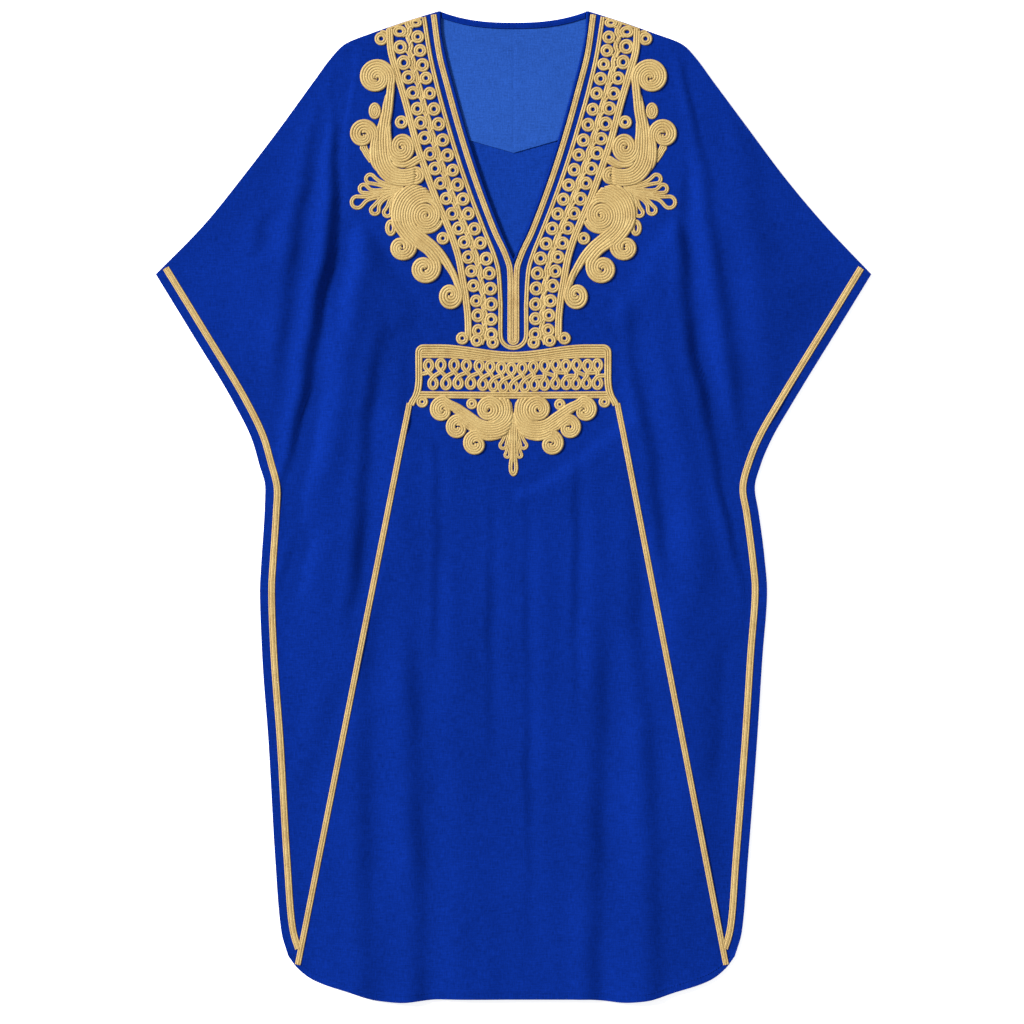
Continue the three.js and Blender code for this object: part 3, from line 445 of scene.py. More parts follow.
binding_x = np.linspace(-NECK_HALF + 1.2, NECK_HALF - 1.2, 61)
scoop_down = 0.6 + SCOOP * (1 - np.abs(binding_x / NECK_HALF) ** SCOOP_POWER)
back_binding = folded_strip(
    "back_binding_cloth",
    np.column_stack([binding_x, LENGTH / 2 - scoop_down]),
    np.column_stack([binding_x, LENGTH / 2 - scoop_down - BACK_BINDING]),
    np.full(len(binding_x), FACING_TOP + SEAM), BINDING_HEIGHT, blue_cloth, pucker=0.08)
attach(back_binding, "root")
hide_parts("back_neck_binding")

# ---- front panel -------------------------------------------------------------------------
# The front with its sleeves, cut in one from the same cloth, with the V neck. It lies on the
# back with soft, uneven folds and is flat where the embroidery stiffens it. The hem is
# turned up and stitched.
NECK_POINT = 322.0
NECK_EDGE = table(
    "down half",
    (0, 94.5), (22, 94), (54, 88.4), (100, 76.7), (147, 63.7), (194, 49.4), (241, 33.2), (288, 15),
    (322, 0))
FRONT_BOTTOM = BACK_TOP + SEAM
YOKE_LIFT = FACING_TOP + SEAM - FRONT_BOTTOM
CLOTH_LOFT = 5.0
SIDE_FLAT = 22.0
SIDE_RISE = 92.0
SIDE_FOLDS = 24.0
YOKE_RISE = 36.0
YOKE_FOLDS = 16.0
YOKE_EDGE = table(
    "down half",
    (0, 190), (90, 205), (165, 217), (255, 213), (300, 172), (350, 142), (395, 118), (425, 136),
    (520, 136), (560, 95), (610, 30), (640, -40))
# Points on each fold's line, its greatest depth, half the trough's width, and how much of the
# depth is left where it runs out at its lower end.
FOLDS = table(
    "name x down depth width hem",
    ("left sleeve", (-224, -228, -250, -268, -294), (58, 253, 385, 501, 624), 7.4, 17, 0),
    ("left sleeve, outer", (-241, -268, -286, -303), (102, 234, 341, 474), 3.4, 18, 0),
    ("left cuff", (-322, -331), (262, 314), 1.9, 16, 0),
    ("left chest", (-167, -188, -197, -211), (415, 536, 696, 784), 3.4, 17, 0),
    ("left skirt", (-162, -188, -188, -188), (722, 873, 1050, 1228), 2.2, 23, 0.5),
    ("left of the middle", (-131, -126, -119, -117), (792, 950, 1110, 1284), 2.8, 23, 1),
    ("left hip", (-278, -299), (678, 758), 2.8, 15, 0),
    ("left side", (-224, -268), (873, 1007), 1.5, 25, 0),
    ("right sleeve, outer", (228, 246, 264, 282, 300), (65, 163, 297, 429, 563), 4.0, 18, 0),
    ("right sleeve", (220, 229, 255, 278, 295, 309), (225, 385, 519, 624, 696, 758), 5.6, 17, 0),
    ("right chest", (149, 162, 180, 198), (367, 483, 563, 723), 3.4, 17, 0),
    ("right skirt", (158, 162, 171, 184, 189), (661, 784, 874, 1051, 1229), 2.4, 23, 0.6),
    ("right of the middle", (119, 114, 109), (828, 1050, 1284), 2.8, 23, 1),
    ("right hip", (273, 273, 246), (821, 944, 1006), 1.5, 28, 0),
    ("left sleeve, inner", (-214, -222, -232), (240, 330, 420), 1.6, 9, 0),
    ("under the belt, outer left", (-99, -101), (560, 840), 1.1, 9, 0),
    ("under the belt, left", (-29, -31), (640, 930), 1.0, 9, 0),
    ("under the belt, right", (16, 20), (630, 1120), 1.0, 9, 0),
    ("under the belt, outer right", (82, 80), (560, 880), 1.2, 9, 0))
RIDGE = 0.45
RIDGE_PLACE = 1.7
FADE = 0.42
STEEP_SIDE = 1.55
GENTLE_SIDE = 0.8
STEEP_SHIFT = 0.36
WOBBLE = 2.2
HEM_TURN = 11.0
RIPPLES = 14


def edge_distance(x, down):
    """Shortest distance from points of the front to the shoulder, cuff and side edge."""
    nearest = np.full(x.shape, np.inf)
    for column, side in SIDES:
        mine = (x < 0) if side < 0 else (x >= 0)
        across = np.abs(x[mine])
        depth = down[mine]
        best = np.full(across.shape, np.inf)
        for a, b in zip(SIDE_EDGE, SIDE_EDGE[1:]):
            run = b[column] - a[column]
            fall = b["down"] - a["down"]
            t = ((across - a[column]) * run + (depth - a["down"]) * fall) / (run ** 2 + fall ** 2)
            t = np.clip(t, 0.0, 1.0)
            gap = np.hypot(across - a[column] - t * run, depth - a["down"] - t * fall)
            best = np.minimum(best, gap)
        nearest[mine] = best
    return nearest


def fold_height(fold, x, down):
    """Height that one fold adds: a trough, steep on its left side, with a ridge at each side."""
    first, last = fold["down"][0], fold["down"][-1]
    fade = FADE * (last - first)
    start = smooth((down - first + fade / 2) / fade)
    end = smooth((last + fade / 2 - down) / fade)
    strength = start * np.maximum(end, np.where(down > first, fold["hem"], 0.0))
    rows = [{"down": d, "x": at} for d, at in zip(fold["down"], fold["x"])]
    wobble = WOBBLE * np.sin(down / 47 + fold["width"]) * np.sin(down / 19)
    away = (x - curve(rows, "down", "x", down) - wobble) / fold["width"] - STEEP_SHIFT
    away = away * np.where(away < 0, STEEP_SIDE, GENTLE_SIDE)
    strength = strength * (1 + 0.18 * np.sin(down / 33 + fold["depth"] * 9))
    trough = np.exp(-away ** 2)
    ridges = np.exp(-(away + RIDGE_PLACE) ** 2) + np.exp(-(away - RIDGE_PLACE) ** 2)
    return fold["depth"] * strength * (RIDGE * ridges - trough)


ripple_draw = np.random.default_rng(7)
ripple_turn = ripple_draw.uniform(-0.5, 0.5, RIPPLES)
ripple_wave = ripple_draw.uniform(38, 120, RIPPLES)
ripple_start = ripple_draw.uniform(0, 2 * math.pi, RIPPLES)


def cloth_ripple(x, down):
    """The small uneven swells of cloth that was smoothed out by hand, mostly upright."""
    swell = np.zeros(x.shape)
    for turn, wave, start in zip(ripple_turn, ripple_wave, ripple_start):
        along = x * np.cos(turn) + down * np.sin(turn)
        swell += np.sin(2 * math.pi * along / wave + start + 0.6 * np.sin(down / (2.3 * wave)))
    return swell / math.sqrt(RIPPLES)


def front_top(x, down):
    """Height of the front's upper side above the floor."""
    x = np.asarray(x, float)
    down = np.asarray(down, float)
    inside = edge_distance(x, down)
    beyond = np.abs(x) - curve(YOKE_EDGE, "down", "half", down)
    yoke = 1 - smooth(beyond / YOKE_RISE)
    loft = CLOTH_LOFT * smooth((inside - SIDE_FLAT) / SIDE_RISE) * (1 - yoke) + YOKE_LIFT * yoke
    folded = 0.30 * cloth_ripple(x, down)
    for fold in FOLDS:
        folded = folded + fold_height(fold, x, down)
    folded = folded * smooth((inside - 2.0) / SIDE_FOLDS) * smooth(beyond / YOKE_FOLDS)
    return FRONT_BOTTOM + np.maximum(0.0, loft + folded) + CLOTH


FRONT_COLUMNS = 78
front_downs = np.unique(np.concatenate([
    np.arange(0.0, 60.0, 2.5), np.arange(60.0, NECK_POINT, 5.5), [NECK_POINT, NECK_POINT + 2.5],
    np.arange(NECK_POINT + 7, CUFF_TIP, 5.0), np.arange(CUFF_TIP, HEM_BEND, 6.0),
    np.arange(HEM_BEND, CORNER - 10, 4.6), CORNER - np.array([8.6, 7.6, 6.6, 4.4, 2.2, 0.0])]))


def front_neck(rows):
    """How far out the V neck's edge is at each depth."""
    return np.where(rows < NECK_POINT, curve(NECK_EDGE, "down", "half", rows), 0.0)


front_halves = []
for side in (-1, 1):
    x, down = panel_grid(front_downs, FRONT_COLUMNS, front_neck, side)
    z = front_top(x, down)
    to_hem = (CORNER - front_downs)[:, None] * (LENGTH - HEM_BEND) / (CORNER - HEM_BEND)
    turned_up = smooth((HEM_TURN - to_hem) / 1.5)
    stitched = np.exp(-((to_hem - HEM_TURN + 2.0) / 1.1) ** 2)
    z = z + 0.35 * turned_up - 0.25 * stitched
    front_halves.append((x, down, z, side))
front_cloth = cloth_sheet("front_cloth", front_halves, FRONT_COLUMNS, CLOTH, blue_cloth)
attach(front_cloth, "root")
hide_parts("front_panel")

# ---- front neck binding ------------------------------------------------------------------
# The same folded strip along both edges of the V, mitred at its point. It shows as a thin
# blue line between the opening and the neck braid.
YOKE_TOP = FRONT_BOTTOM + YOKE_LIFT + CLOTH
NECK_BRAID = table(
    "down inner outer",
    (4.5, 99.8, 107.8), (54, 93, 100.6), (100, 81.3, 89), (147, 68.3, 76.4), (194, 54, 62.2),
    (241, 37.9, 46), (288, 19.8, 27.8), (319, 5.4, 13.6), (336, 0.3, 8.8), (350, 0.2, 7.6))
binding_downs = np.linspace(2.0, NECK_POINT - 1, 90)
binding_half = curve(NECK_EDGE, "down", "half", binding_downs) + 0.4
braid_inner = curve(NECK_BRAID, "down", "inner", binding_downs)
binding_outer = np.minimum(binding_half + 4.0, braid_inner - 0.2)
edge_line = np.column_stack([binding_half, LENGTH / 2 - binding_downs])
other_line = np.column_stack([binding_outer, LENGTH / 2 - binding_downs])
mirror = np.array([-1.0, 1.0])
point_edge = np.array([[0.0, LENGTH / 2 - NECK_POINT - 0.4]])
point_other = np.array([[0.0, LENGTH / 2 - NECK_POINT - 6.5]])
front_binding = folded_strip(
    "front_binding_cloth",
    np.concatenate([edge_line * mirror, point_edge, edge_line[::-1]]),
    np.concatenate([other_line * mirror, point_other, other_line[::-1]]),
    np.full(2 * len(edge_line) + 1, YOKE_TOP + 0.05), 1.1, blue_cloth, pucker=0.06)
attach(front_binding, "root")
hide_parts("front_neck_binding")

# ---- hem stitching -----------------------------------------------------------------------
# A row of machine stitches in matching blue thread that holds the turned-up hem, 9 mm above
# the edge. Each stitch is a short rounded thread that dips into the cloth at both ends.
STITCH = 3.2
STITCH_STEP = 3.9
STITCH_THICK = 0.42
STITCH_LEVEL = 9.0


def stitch_row(name, line, heights, material):
    """One short thread after another along a line of points."""
    along = run_along(line)
    starts = np.arange(0.0, along[-1] - STITCH_STEP, STITCH_STEP)
    sides = 6
    rings = ((0.0, 0.15), (0.2, 0.8), (0.5, 1.0), (0.8, 0.8), (1.0, 0.15))
    points = []
    faces = []
    for start in starts:
        first = len(points)
        for share, swell in rings:
            at = start + share * STITCH
            x = np.interp(at, along, line[:, 0])
            y = np.interp(at, along, line[:, 1])
            z = np.interp(at, along, heights) + STITCH_THICK * (swell - 0.55)
            ahead = np.array([np.interp(at + 1, along, line[:, 0]) - x,
                              np.interp(at + 1, along, line[:, 1]) - y])
            normal = np.array([-ahead[1], ahead[0]]) / (np.hypot(*ahead) + 1e-9)
            for k in range(sides):
                angle = 2 * math.pi * k / sides
                reach = STITCH_THICK * swell * math.cos(angle)
                points.append((x + normal[0] * reach, y + normal[1] * reach,
                               z + STITCH_THICK * swell * math.sin(angle)))
        for r in range(len(rings) - 1):
            for k in range(sides):
                a = first + r * sides + k
                b = first + r * sides + (k + 1) % sides
                faces.append((a, b, b + sides, a + sides))
        faces.append(tuple(first + k for k in range(sides))[::-1])
        last = first + (len(rings) - 1) * sides
        faces.append(tuple(last + k for k in range(sides)))
    piece = mesh_piece(name, points, faces)
    return finished(piece, 80, material)


thread_blue = cloth_material("blue sewing thread", (0.003, 0.022, 0.21), 0.3, 0.1)
hem_share = np.linspace(-0.985, 0.985, 260)
hem_half = np.where(hem_share < 0, side_at(CORNER, -1), side_at(CORNER, 1))
hem_x = hem_share * (hem_half - 1.0)
hem_down = curve(HEM_EDGE, "share", "down", np.abs(hem_share)) - STITCH_LEVEL
hem_line = np.column_stack([hem_x, LENGTH / 2 - hem_down])
hem_stitches = stitch_row("hem_stitches", hem_line, front_top(hem_x, hem_down) + 0.15, thread_blue)
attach(hem_stitches, "root")

# ---- neck braid --------------------------------------------------------------------------
# A flat gold braid, two smooth edge cords with two fine cords plaited between them. One
# length goes down one side of the V, round the tongue below it and up the other side.
BRAID_WIDTH = 7.6
TONGUE_END = 434.5
TRIM_BASE = YOKE_TOP + 0.05
COUCHING_STEP = 2.3
CORD_STEP = 2.4

# Twisted gold thread: strands that wind round the cord, with paler and browner stretches and
# small brown couching stitches along the middle of its upper side. Both flanks of each cord are
# painted darker towards their foot: painted shade where one cord lies against the next.
gold_thread, gold_in, gold_out = new_group(
    "gold thread",
    [("Light", "NodeSocketColor", (0.7, 0.5, 0.25, 1)),
     ("Dark", "NodeSocketColor", (0.3, 0.18, 0.07, 1)),
     ("Strand", "NodeSocketFloat", 1.3), ("Stitch", "NodeSocketFloat", 0.5)],
    [("Colour", "NodeSocketColor"), ("Height", "NodeSocketFloat"),
     ("Roughness", "NodeSocketFloat")])


def blend(tree, share, first, second):
    """A colour between two colours."""
    node = add_node(tree, "ShaderNodeMix", {0: share, 6: first, 7: second}, data_type="RGBA")
    return node.outputs[2]


def spread(tree, value, low, high, to_low=0.0, to_high=1.0):
    """A value's range stretched to another range."""
    node = add_node(tree, "ShaderNodeMapRange",
                    {"Value": value, "From Min": low, "From Max": high, "To Min": to_low,
                     "To Max": to_high})
    return node.outputs["Result"]


spot = add_node(gold_thread, "ShaderNodeTexCoord").outputs["Object"]
run_of = add_node(gold_thread, "ShaderNodeUVMap", uv_map="along")
split = add_node(gold_thread, "ShaderNodeSeparateXYZ", {"Vector": run_of.outputs["UV"]})
run, round_cord = split.outputs["X"], split.outputs["Y"]
wound = calc(gold_thread, "DIVIDE", run, gold_in.outputs["Strand"])
slant = calc(gold_thread, "MULTIPLY_ADD", round_cord, 1.6, wound)
strand_wave = calc(gold_thread, "SINE", calc(gold_thread, "MULTIPLY", slant, 2 * math.pi))
fleck = noise(gold_thread, spot, 520.0, 2.0)
drift = noise(gold_thread, spot, 55.0, 3.0)
pale_part = calc(gold_thread, "MULTIPLY_ADD", fleck, 1.25,
                 calc(gold_thread, "MULTIPLY", strand_wave, 0.07))
pale_share = calc(gold_thread, "SUBTRACT",
                  calc(gold_thread, "MULTIPLY_ADD", drift, 0.8, pale_part), 0.42, clamp=True)
tinted = blend(gold_thread, pale_share, gold_in.outputs["Dark"], gold_in.outputs["Light"])
stitch_wave = calc(gold_thread, "SINE",
                   calc(gold_thread, "MULTIPLY", run, 2 * math.pi / COUCHING_STEP))
off_top = calc(gold_thread, "ABSOLUTE", calc(gold_thread, "SUBTRACT", round_cord, 0.5))
stitch_mask = calc(gold_thread, "MULTIPLY", spread(gold_thread, stitch_wave, 0.55, 0.95),
                   spread(gold_thread, off_top, 0.16, 0.05))
# Painted shade: the colour turns to the dark gold down both flanks of the cord, next to the brown
# couching stitches.
stitch_and_painted_shade_share = calc(gold_thread, "MAXIMUM",
                   calc(gold_thread, "MULTIPLY", stitch_mask, gold_in.outputs["Stitch"]),
                   spread(gold_thread, off_top, 0.21, 0.36, to_high=0.8))
# This colour holds the brown couching stitches and the painted shade on the cord's flanks.
stitched = blend(gold_thread, stitch_and_painted_shade_share, tinted, gold_in.outputs["Dark"])
thread_height = calc(gold_thread, "MULTIPLY_ADD", fleck, 1.6, strand_wave)
dipped = calc(gold_thread, "MULTIPLY_ADD", stitch_mask, -1.5, thread_height)
gold_thread.links.new(stitched, gold_out.inputs["Colour"])
gold_thread.links.new(dipped, gold_out.inputs["Height"])
gold_thread.links.new(spread(gold_thread, fleck, 0.0, 1.0, 0.42, 0.72),
                      gold_out.inputs["Roughness"])


def gold_material(name, pale_gold, brown_gold, strand, stitch):
    """Gold-coloured thread: twisted strands in two golds with a soft shine."""
    values = {"Light": (*pale_gold, 1), "Dark": (*brown_gold, 1), "Strand": strand,
              "Stitch": stitch}
    material, shader, thread = thread_material(name, gold_thread, values, 0.32)
    material.node_tree.links.new(thread.outputs["Roughness"], shader.inputs["Roughness"])
    shader.inputs["Specular IOR Level"].default_value = 0.18
    return material


gold_braid = gold_material("gold braid", (0.605, 0.455, 0.20), (0.32, 0.19, 0.062), 1.1, 0.2)
gold_cord = gold_material("gold cord", (0.585, 0.44, 0.187), (0.31, 0.19, 0.062), 1.6, 0.25)


def resample(route, step):
    """A smooth curve through a route's points, with points about one step apart.

    A route's columns are x, y, height of the underside and the cord's width.
    """
    route = np.asarray(route, float)
    chord = np.hypot(*np.diff(route[:, :2], axis=0).T)
    keep = np.concatenate([[True], chord > 1e-3])
    route = route[keep]
    chord = chord[chord > 1e-3]
    knots = np.concatenate([[0], np.cumsum(np.sqrt(chord))])
    slopes = np.empty_like(route)
    inner = np.diff(route, axis=0) / np.diff(knots)[:, None]
    slopes[0] = inner[0]
    slopes[-1] = inner[-1]
    before, after = np.diff(knots)[:-1, None], np.diff(knots)[1:, None]
    slopes[1:-1] = (inner[:-1] * after + inner[1:] * before) / (before + after)
    pieces = []
    for i in range(len(chord)):
        count = max(1, int(round(chord[i] / step)))
        t = np.linspace(0, 1, count, endpoint=False)[:, None]
        width = knots[i + 1] - knots[i]
        rise = route[i + 1] - route[i]
        bend_in = slopes[i] * width - rise
        bend_out = rise - slopes[i + 1] * width
        pieces.append(route[i] + t * rise + t * (1 - t) * ((1 - t) * bend_in + t * bend_out))
    pieces.append(route[-1:])
    return np.concatenate(pieces)


def normals_of(route):
    """Unit vectors to the left of a route in plan."""
    ahead = np.gradient(route[:, :2], axis=0)
    ahead /= np.hypot(*ahead.T)[:, None] + 1e-12
    return np.column_stack([-ahead[:, 1], ahead[:, 0]])


def beside(route, offset):
    """The route moved sideways."""
    moved = route.copy()
    moved[:, :2] += normals_of(route) * offset
    return moved


CORD_SIDES = 7
CORD_ARCH = np.linspace(0, math.pi, CORD_SIDES)
CORD_FLATNESS = 0.37


def cord_piece(name, routes, material):
    """Joins closed half-round cords, one along each route."""
    points = []
    faces = []
    uvs = []
    first = 0
    for route in routes:
        count = len(route)
        if count < 3:
            continue
        side = normals_of(route)
        reach = route[:, 3] / 2
        rings = np.empty((count, CORD_SIDES, 3))
        rings[:, :, 0] = route[:, None, 0] + side[:, None, 0] * reach[:, None] * np.cos(CORD_ARCH)
        rings[:, :, 1] = route[:, None, 1] + side[:, None, 1] * reach[:, None] * np.cos(CORD_ARCH)
        rise = 2 * CORD_FLATNESS * reach[:, None] * np.sin(CORD_ARCH)
        rings[:, :, 2] = route[:, None, 2] + rise
        points.append(rings.reshape(-1, 3))
        along = run_along(route)
        ring = first + np.arange(count - 1) * CORD_SIDES
        corner_u = np.stack([along[:-1], along[:-1], along[1:], along[1:]], axis=-1)
        for j in range(CORD_SIDES):
            k = (j + 1) % CORD_SIDES
            low, high = j / (CORD_SIDES - 1), min(1.0, (j + 1) / (CORD_SIDES - 1))
            quad = [ring + j, ring + k, ring + CORD_SIDES + k, ring + CORD_SIDES + j]
            faces.extend(np.stack(quad, axis=-1).tolist())
            corner_v = np.broadcast_to([low, high, high, low], corner_u.shape)
            uvs.append(np.stack([corner_u, corner_v], axis=-1).reshape(-1, 2))
        last = first + (count - 1) * CORD_SIDES
        faces.append([first + j for j in range(CORD_SIDES)][::-1])
        faces.append([last + j for j in range(CORD_SIDES)])
        uvs.append(np.tile([along[0], 0.5], (CORD_SIDES, 1)))
        uvs.append(np.tile([along[-1], 0.5], (CORD_SIDES, 1)))
        first += count * CORD_SIDES
    piece = mesh_piece(name, np.concatenate(points), faces, np.concatenate(uvs))
    return finished(piece, 65, material)


EDGE_CORD = 2.3
PLAIT_CORD = 1.9
PLAIT_STEP = 3.6
PLAIT_SWING = 0.95
GROUND_CORDS = 2


def braid_routes(line, width):
    """Edge cords, flat ground cords and two plaited cords along a braid's middle line."""
    routes = [beside(line, side * (width - EDGE_CORD) / 2) for side in (-1, 1)]
    for route in routes:
        route[:, 3] = EDGE_CORD
    ground = (width - 2 * EDGE_CORD) / GROUND_CORDS
    for number in range(GROUND_CORDS):
        routes.append(beside(line, ground * (number - (GROUND_CORDS - 1) / 2)))
        routes[-1][:, 3] = ground * 1.3
    along = run_along(line)
    fine = np.arange(0.0, along[-1], PLAIT_STEP / 4)
    middle = np.column_stack([np.interp(fine, along, line[:, k]) for k in range(4)])
    side = normals_of(middle)
    for phase in (0.0, math.pi):
        angle = 2 * math.pi * fine / PLAIT_STEP + phase
        strand = middle.copy()
        strand[:, :2] += side * (PLAIT_SWING * np.sin(angle))[:, None]
        strand[:, 2] += 0.35 + 0.3 * np.cos(angle)
        strand[:, 3] = PLAIT_CORD
        routes.append(strand)
    return routes


def plan_line(out, down, base, width):
    """A route from distances out and down, both sides as given."""
    out = np.asarray(out, float)
    return np.column_stack([out, LENGTH / 2 - np.asarray(down, float),
                            np.full(len(out), float(base)), np.full(len(out), float(width))])


braid_downs = np.linspace(4.5, 350.0, 60)
braid_out = (curve(NECK_BRAID, "down", "inner", braid_downs)
             + curve(NECK_BRAID, "down", "outer", braid_downs)) / 2


def round_tongue(leg, centre):
    """A route down one leg, in a half turn round the tongue's end and up the other leg."""
    radius = leg[-1, 0]
    angles = np.linspace(0, -math.pi, 13)
    turn = plan_line(radius * np.cos(angles), centre - radius * np.sin(angles), TRIM_BASE,
                     leg[-1, 3])
    other_leg = leg.copy()
    other_leg[:, 0] *= -1
    return resample(np.concatenate([leg, turn, other_leg[::-1]]), CORD_STEP)


neck_line = round_tongue(plan_line(braid_out, braid_downs, TRIM_BASE, BRAID_WIDTH),
                         TONGUE_END - NECK_BRAID[-1]["outer"])
neck_plait = cord_piece("neck_braid_plait", braid_routes(neck_line, BRAID_WIDTH), gold_braid)
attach(neck_plait, "root")
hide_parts("neck_braid")

# ---- skirt braids ------------------------------------------------------------------------
# The same braid sewn on the skirt, one on each side, straight from the lower corner of the
# belt panel to the hem's corner. It rides on the soft folds of the cloth.
SKIRT_BRAID = {"top_down": 510.0, "top_out": 135.1, "end_down": 1240.0, "left": 280.5,
               "right": 276.5}


def ride_on_front(line, width):
    """Sets a braid's underside just above the cloth at its middle and both its edges."""
    left = beside(line, width / 2)
    right = beside(line, -width / 2)
    levels = [front_top(part[:, 0], LENGTH / 2 - part[:, 1]) for part in (left, line, right)]
    line[:, 2] = np.max(levels, axis=0) + 0.05
    return line


for word, side in SIDES:
    share = np.linspace(0, 1, 240)
    out = SKIRT_BRAID["top_out"] + share * (SKIRT_BRAID[word] - SKIRT_BRAID["top_out"])
    down = SKIRT_BRAID["top_down"] + share * (SKIRT_BRAID["end_down"] - SKIRT_BRAID["top_down"])
    skirt_line = ride_on_front(plan_line(side * out, down, 0, BRAID_WIDTH), BRAID_WIDTH)
    skirt_plait = cord_piece(f"skirt_braid_{word}_plait", braid_routes(skirt_line, BRAID_WIDTH),
                             gold_braid)
    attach(skirt_plait, "root")
    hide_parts(f"skirt_braid_{word}")

# ---- cuff and side braids ----------------------------------------------------------------
# The same braid along the open cuff and on down the side, 15 mm in from the edge. Below the
# cuff it is sewn through both layers and closes the side of the kaftan.
BRAID_INSET = 15.5
SIDE_BRAID_WIDTH = 8.8
SIDE_BRAID_END = 1221.0
for word, side in SIDES:
    corners = np.array([(row[word], row["down"]) for row in SIDE_EDGE if row["down"] >= CUFF_TIP],
                       float)
    ahead = np.gradient(corners, axis=0)
    ahead[0] = corners[1] - corners[0]
    ahead[-1] = corners[-1] - corners[-2]
    ahead /= np.hypot(*ahead.T)[:, None]
    inset = corners + np.column_stack([-ahead[:, 1], ahead[:, 0]]) * BRAID_INSET
    side_line = resample(plan_line(side * inset[:, 0], inset[:, 1], 0, SIDE_BRAID_WIDTH), 3.0)
    side_line = side_line[side_line[:, 1] > LENGTH / 2 - SIDE_BRAID_END]
    side_line = ride_on_front(side_line, SIDE_BRAID_WIDTH)
    side_plait = cord_piece(f"side_braid_{word}_plait",
                            braid_routes(side_line, SIDE_BRAID_WIDTH), gold_braid)
    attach(side_plait, "root")
    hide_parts(f"side_braid_{word}")

# ---- inner border ------------------------------------------------------------------------
# Two gold cords sewn side by side, one length down, round the tongue in a U and up again.
# They edge the loop bands, with a strip of the blue cloth showing next to the neck braid.
CORD = 2.9
INNER_BORDER = table(
    "down half",
    (7.5, 116.3), (54, 109), (100, 98.6), (147, 85.6), (194, 71.3), (241, 55), (288, 36.8),
    (319, 24.5), (335, 20), (352, 18.2), (381, 16.7))
INNER_END = 438.0
border_downs = np.linspace(7.5, 381.0, 56)
border_leg = plan_line(curve(INNER_BORDER, "down", "half", border_downs), border_downs, TRIM_BASE,
                       CORD)
border_line = round_tongue(border_leg, INNER_END - INNER_BORDER[-1]["half"])
border_cords = cord_piece("inner_border_cords",
                          [beside(border_line, side * CORD / 2) for side in (-1, 1)], gold_cord)
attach(border_cords, "root")
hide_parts("inner_border")

# ---- loop bands --------------------------------------------------------------------------
# Between the borders lie two columns of rings, each of two turns of gold cord, with a doubled
# cord woven down between the columns. Three cords edge the band, and six more rings are sewn
# beside it and at its foot.
OUTER_BORDER = table(
    "down half",
    (23, 161), (45, 160), (86, 149.5), (116, 140.7), (142, 133.9), (168, 127), (197, 117.5),
    (229, 106), (246, 99.6), (272, 88.4), (298, 78), (324, 70.3), (350, 65.7), (376, 61.4),
    (405, 58.8), (438, 58.4))
OUTER_RINGS = table(
    "ring down",
    (0, 27), (4, 107), (13, 283), (16, 338), (20, 415))
INNER_RINGS = table(
    "ring down",
    (0, 15.5), (4, 88), (10, 207), (13, 263), (16, 322), (21, 420))
RING_COLUMNS = table(
    "rings border offset top foot first_tall push",
    (OUTER_RINGS, OUTER_BORDER, -12.9, 9.3, 8.5, 0.78, -1),
    (INNER_RINGS, INNER_BORDER, 12.0, 8.6, 8.8, 0.66, 1))
BAND_RINGS = table(
    "name out down radius",
    ("top ring", 171.8, 36, 8.6), ("upper ring", 145.4, 144.5, 8.6),
    ("lower ring", 91.6, 295.6, 8.2), ("foot ring", 66.4, 425.5, 8.2),
    ("outer end ring", 47.4, 428.4, 8.2), ("inner end ring", 26.6, 431.0, 8.2))
# The border's outer cords curl over into the top ring.
BORDER_CURL = [(159.8, 56), (161.4, 40), (163.6, 31), (168, 27.6), (173, 28.2)]
SHOULDER_CORD = {"from": 164, "to": 119, "inside": 2.0}
# Where the cord that ties a ring to the link runs, in radii from the ring's middle.
TIE = [(0.4, 0.72), (0.82, 0.6), (1.12, 0.95), (1.3, 1.5)]
LINK_PUSH = 2.2
LINK_REACH = 5.0
LINK_END = 429.0
BORDER_END = 428.0
BORDER_PITCH = 2.9
SHOULDER_CLEAR = 1.5
# Cords that press against each other are a little wider than the space each one has.
CLOSE_CORD = CORD * 1.16
TIE_CORD = CORD * 1.1
BEND_STEP = 2.0
RING_LEVEL = TRIM_BASE + 0.4
FULL_TURN = 2.06 * math.pi
CUT_WIDTH = 0.55
CUT_DROP = 0.25
SINK = {"depth": 1.2, "reach": 9.0}
hand = np.random.default_rng(11)


def thin_ends(route):
    """A single cord is cut and turned under at both ends, so it narrows there."""
    route[[0, -1], 3] *= CUT_WIDTH
    route[[0, -1], 2] -= CUT_DROP
    return route


def oval(out, down, wide, tall, side, base):
    """One turn of cord, whose end lies over its start."""
    angles = np.linspace(0, FULL_TURN, max(15, int((wide + tall) * 1.9)))
    return np.column_stack([
        side * out + wide * np.cos(angles), LENGTH / 2 - down + tall * np.sin(angles),
        np.full(len(angles), base), np.full(len(angles), CLOSE_CORD)])


def ring_turns(ring, side, base, tall=1.0):
    """A ring of two turns of cord round a small eye."""
    sizes = [ring["radius"] - CORD * turn for turn in (0.5, 1.5)]
    return [oval(ring["out"], ring["down"], size, size * tall, side, base) for size in sizes]


def doubled(route, pitch):
    """Two cords side by side along a route."""
    return [beside(route, -pitch / 2), beside(route, pitch / 2)]


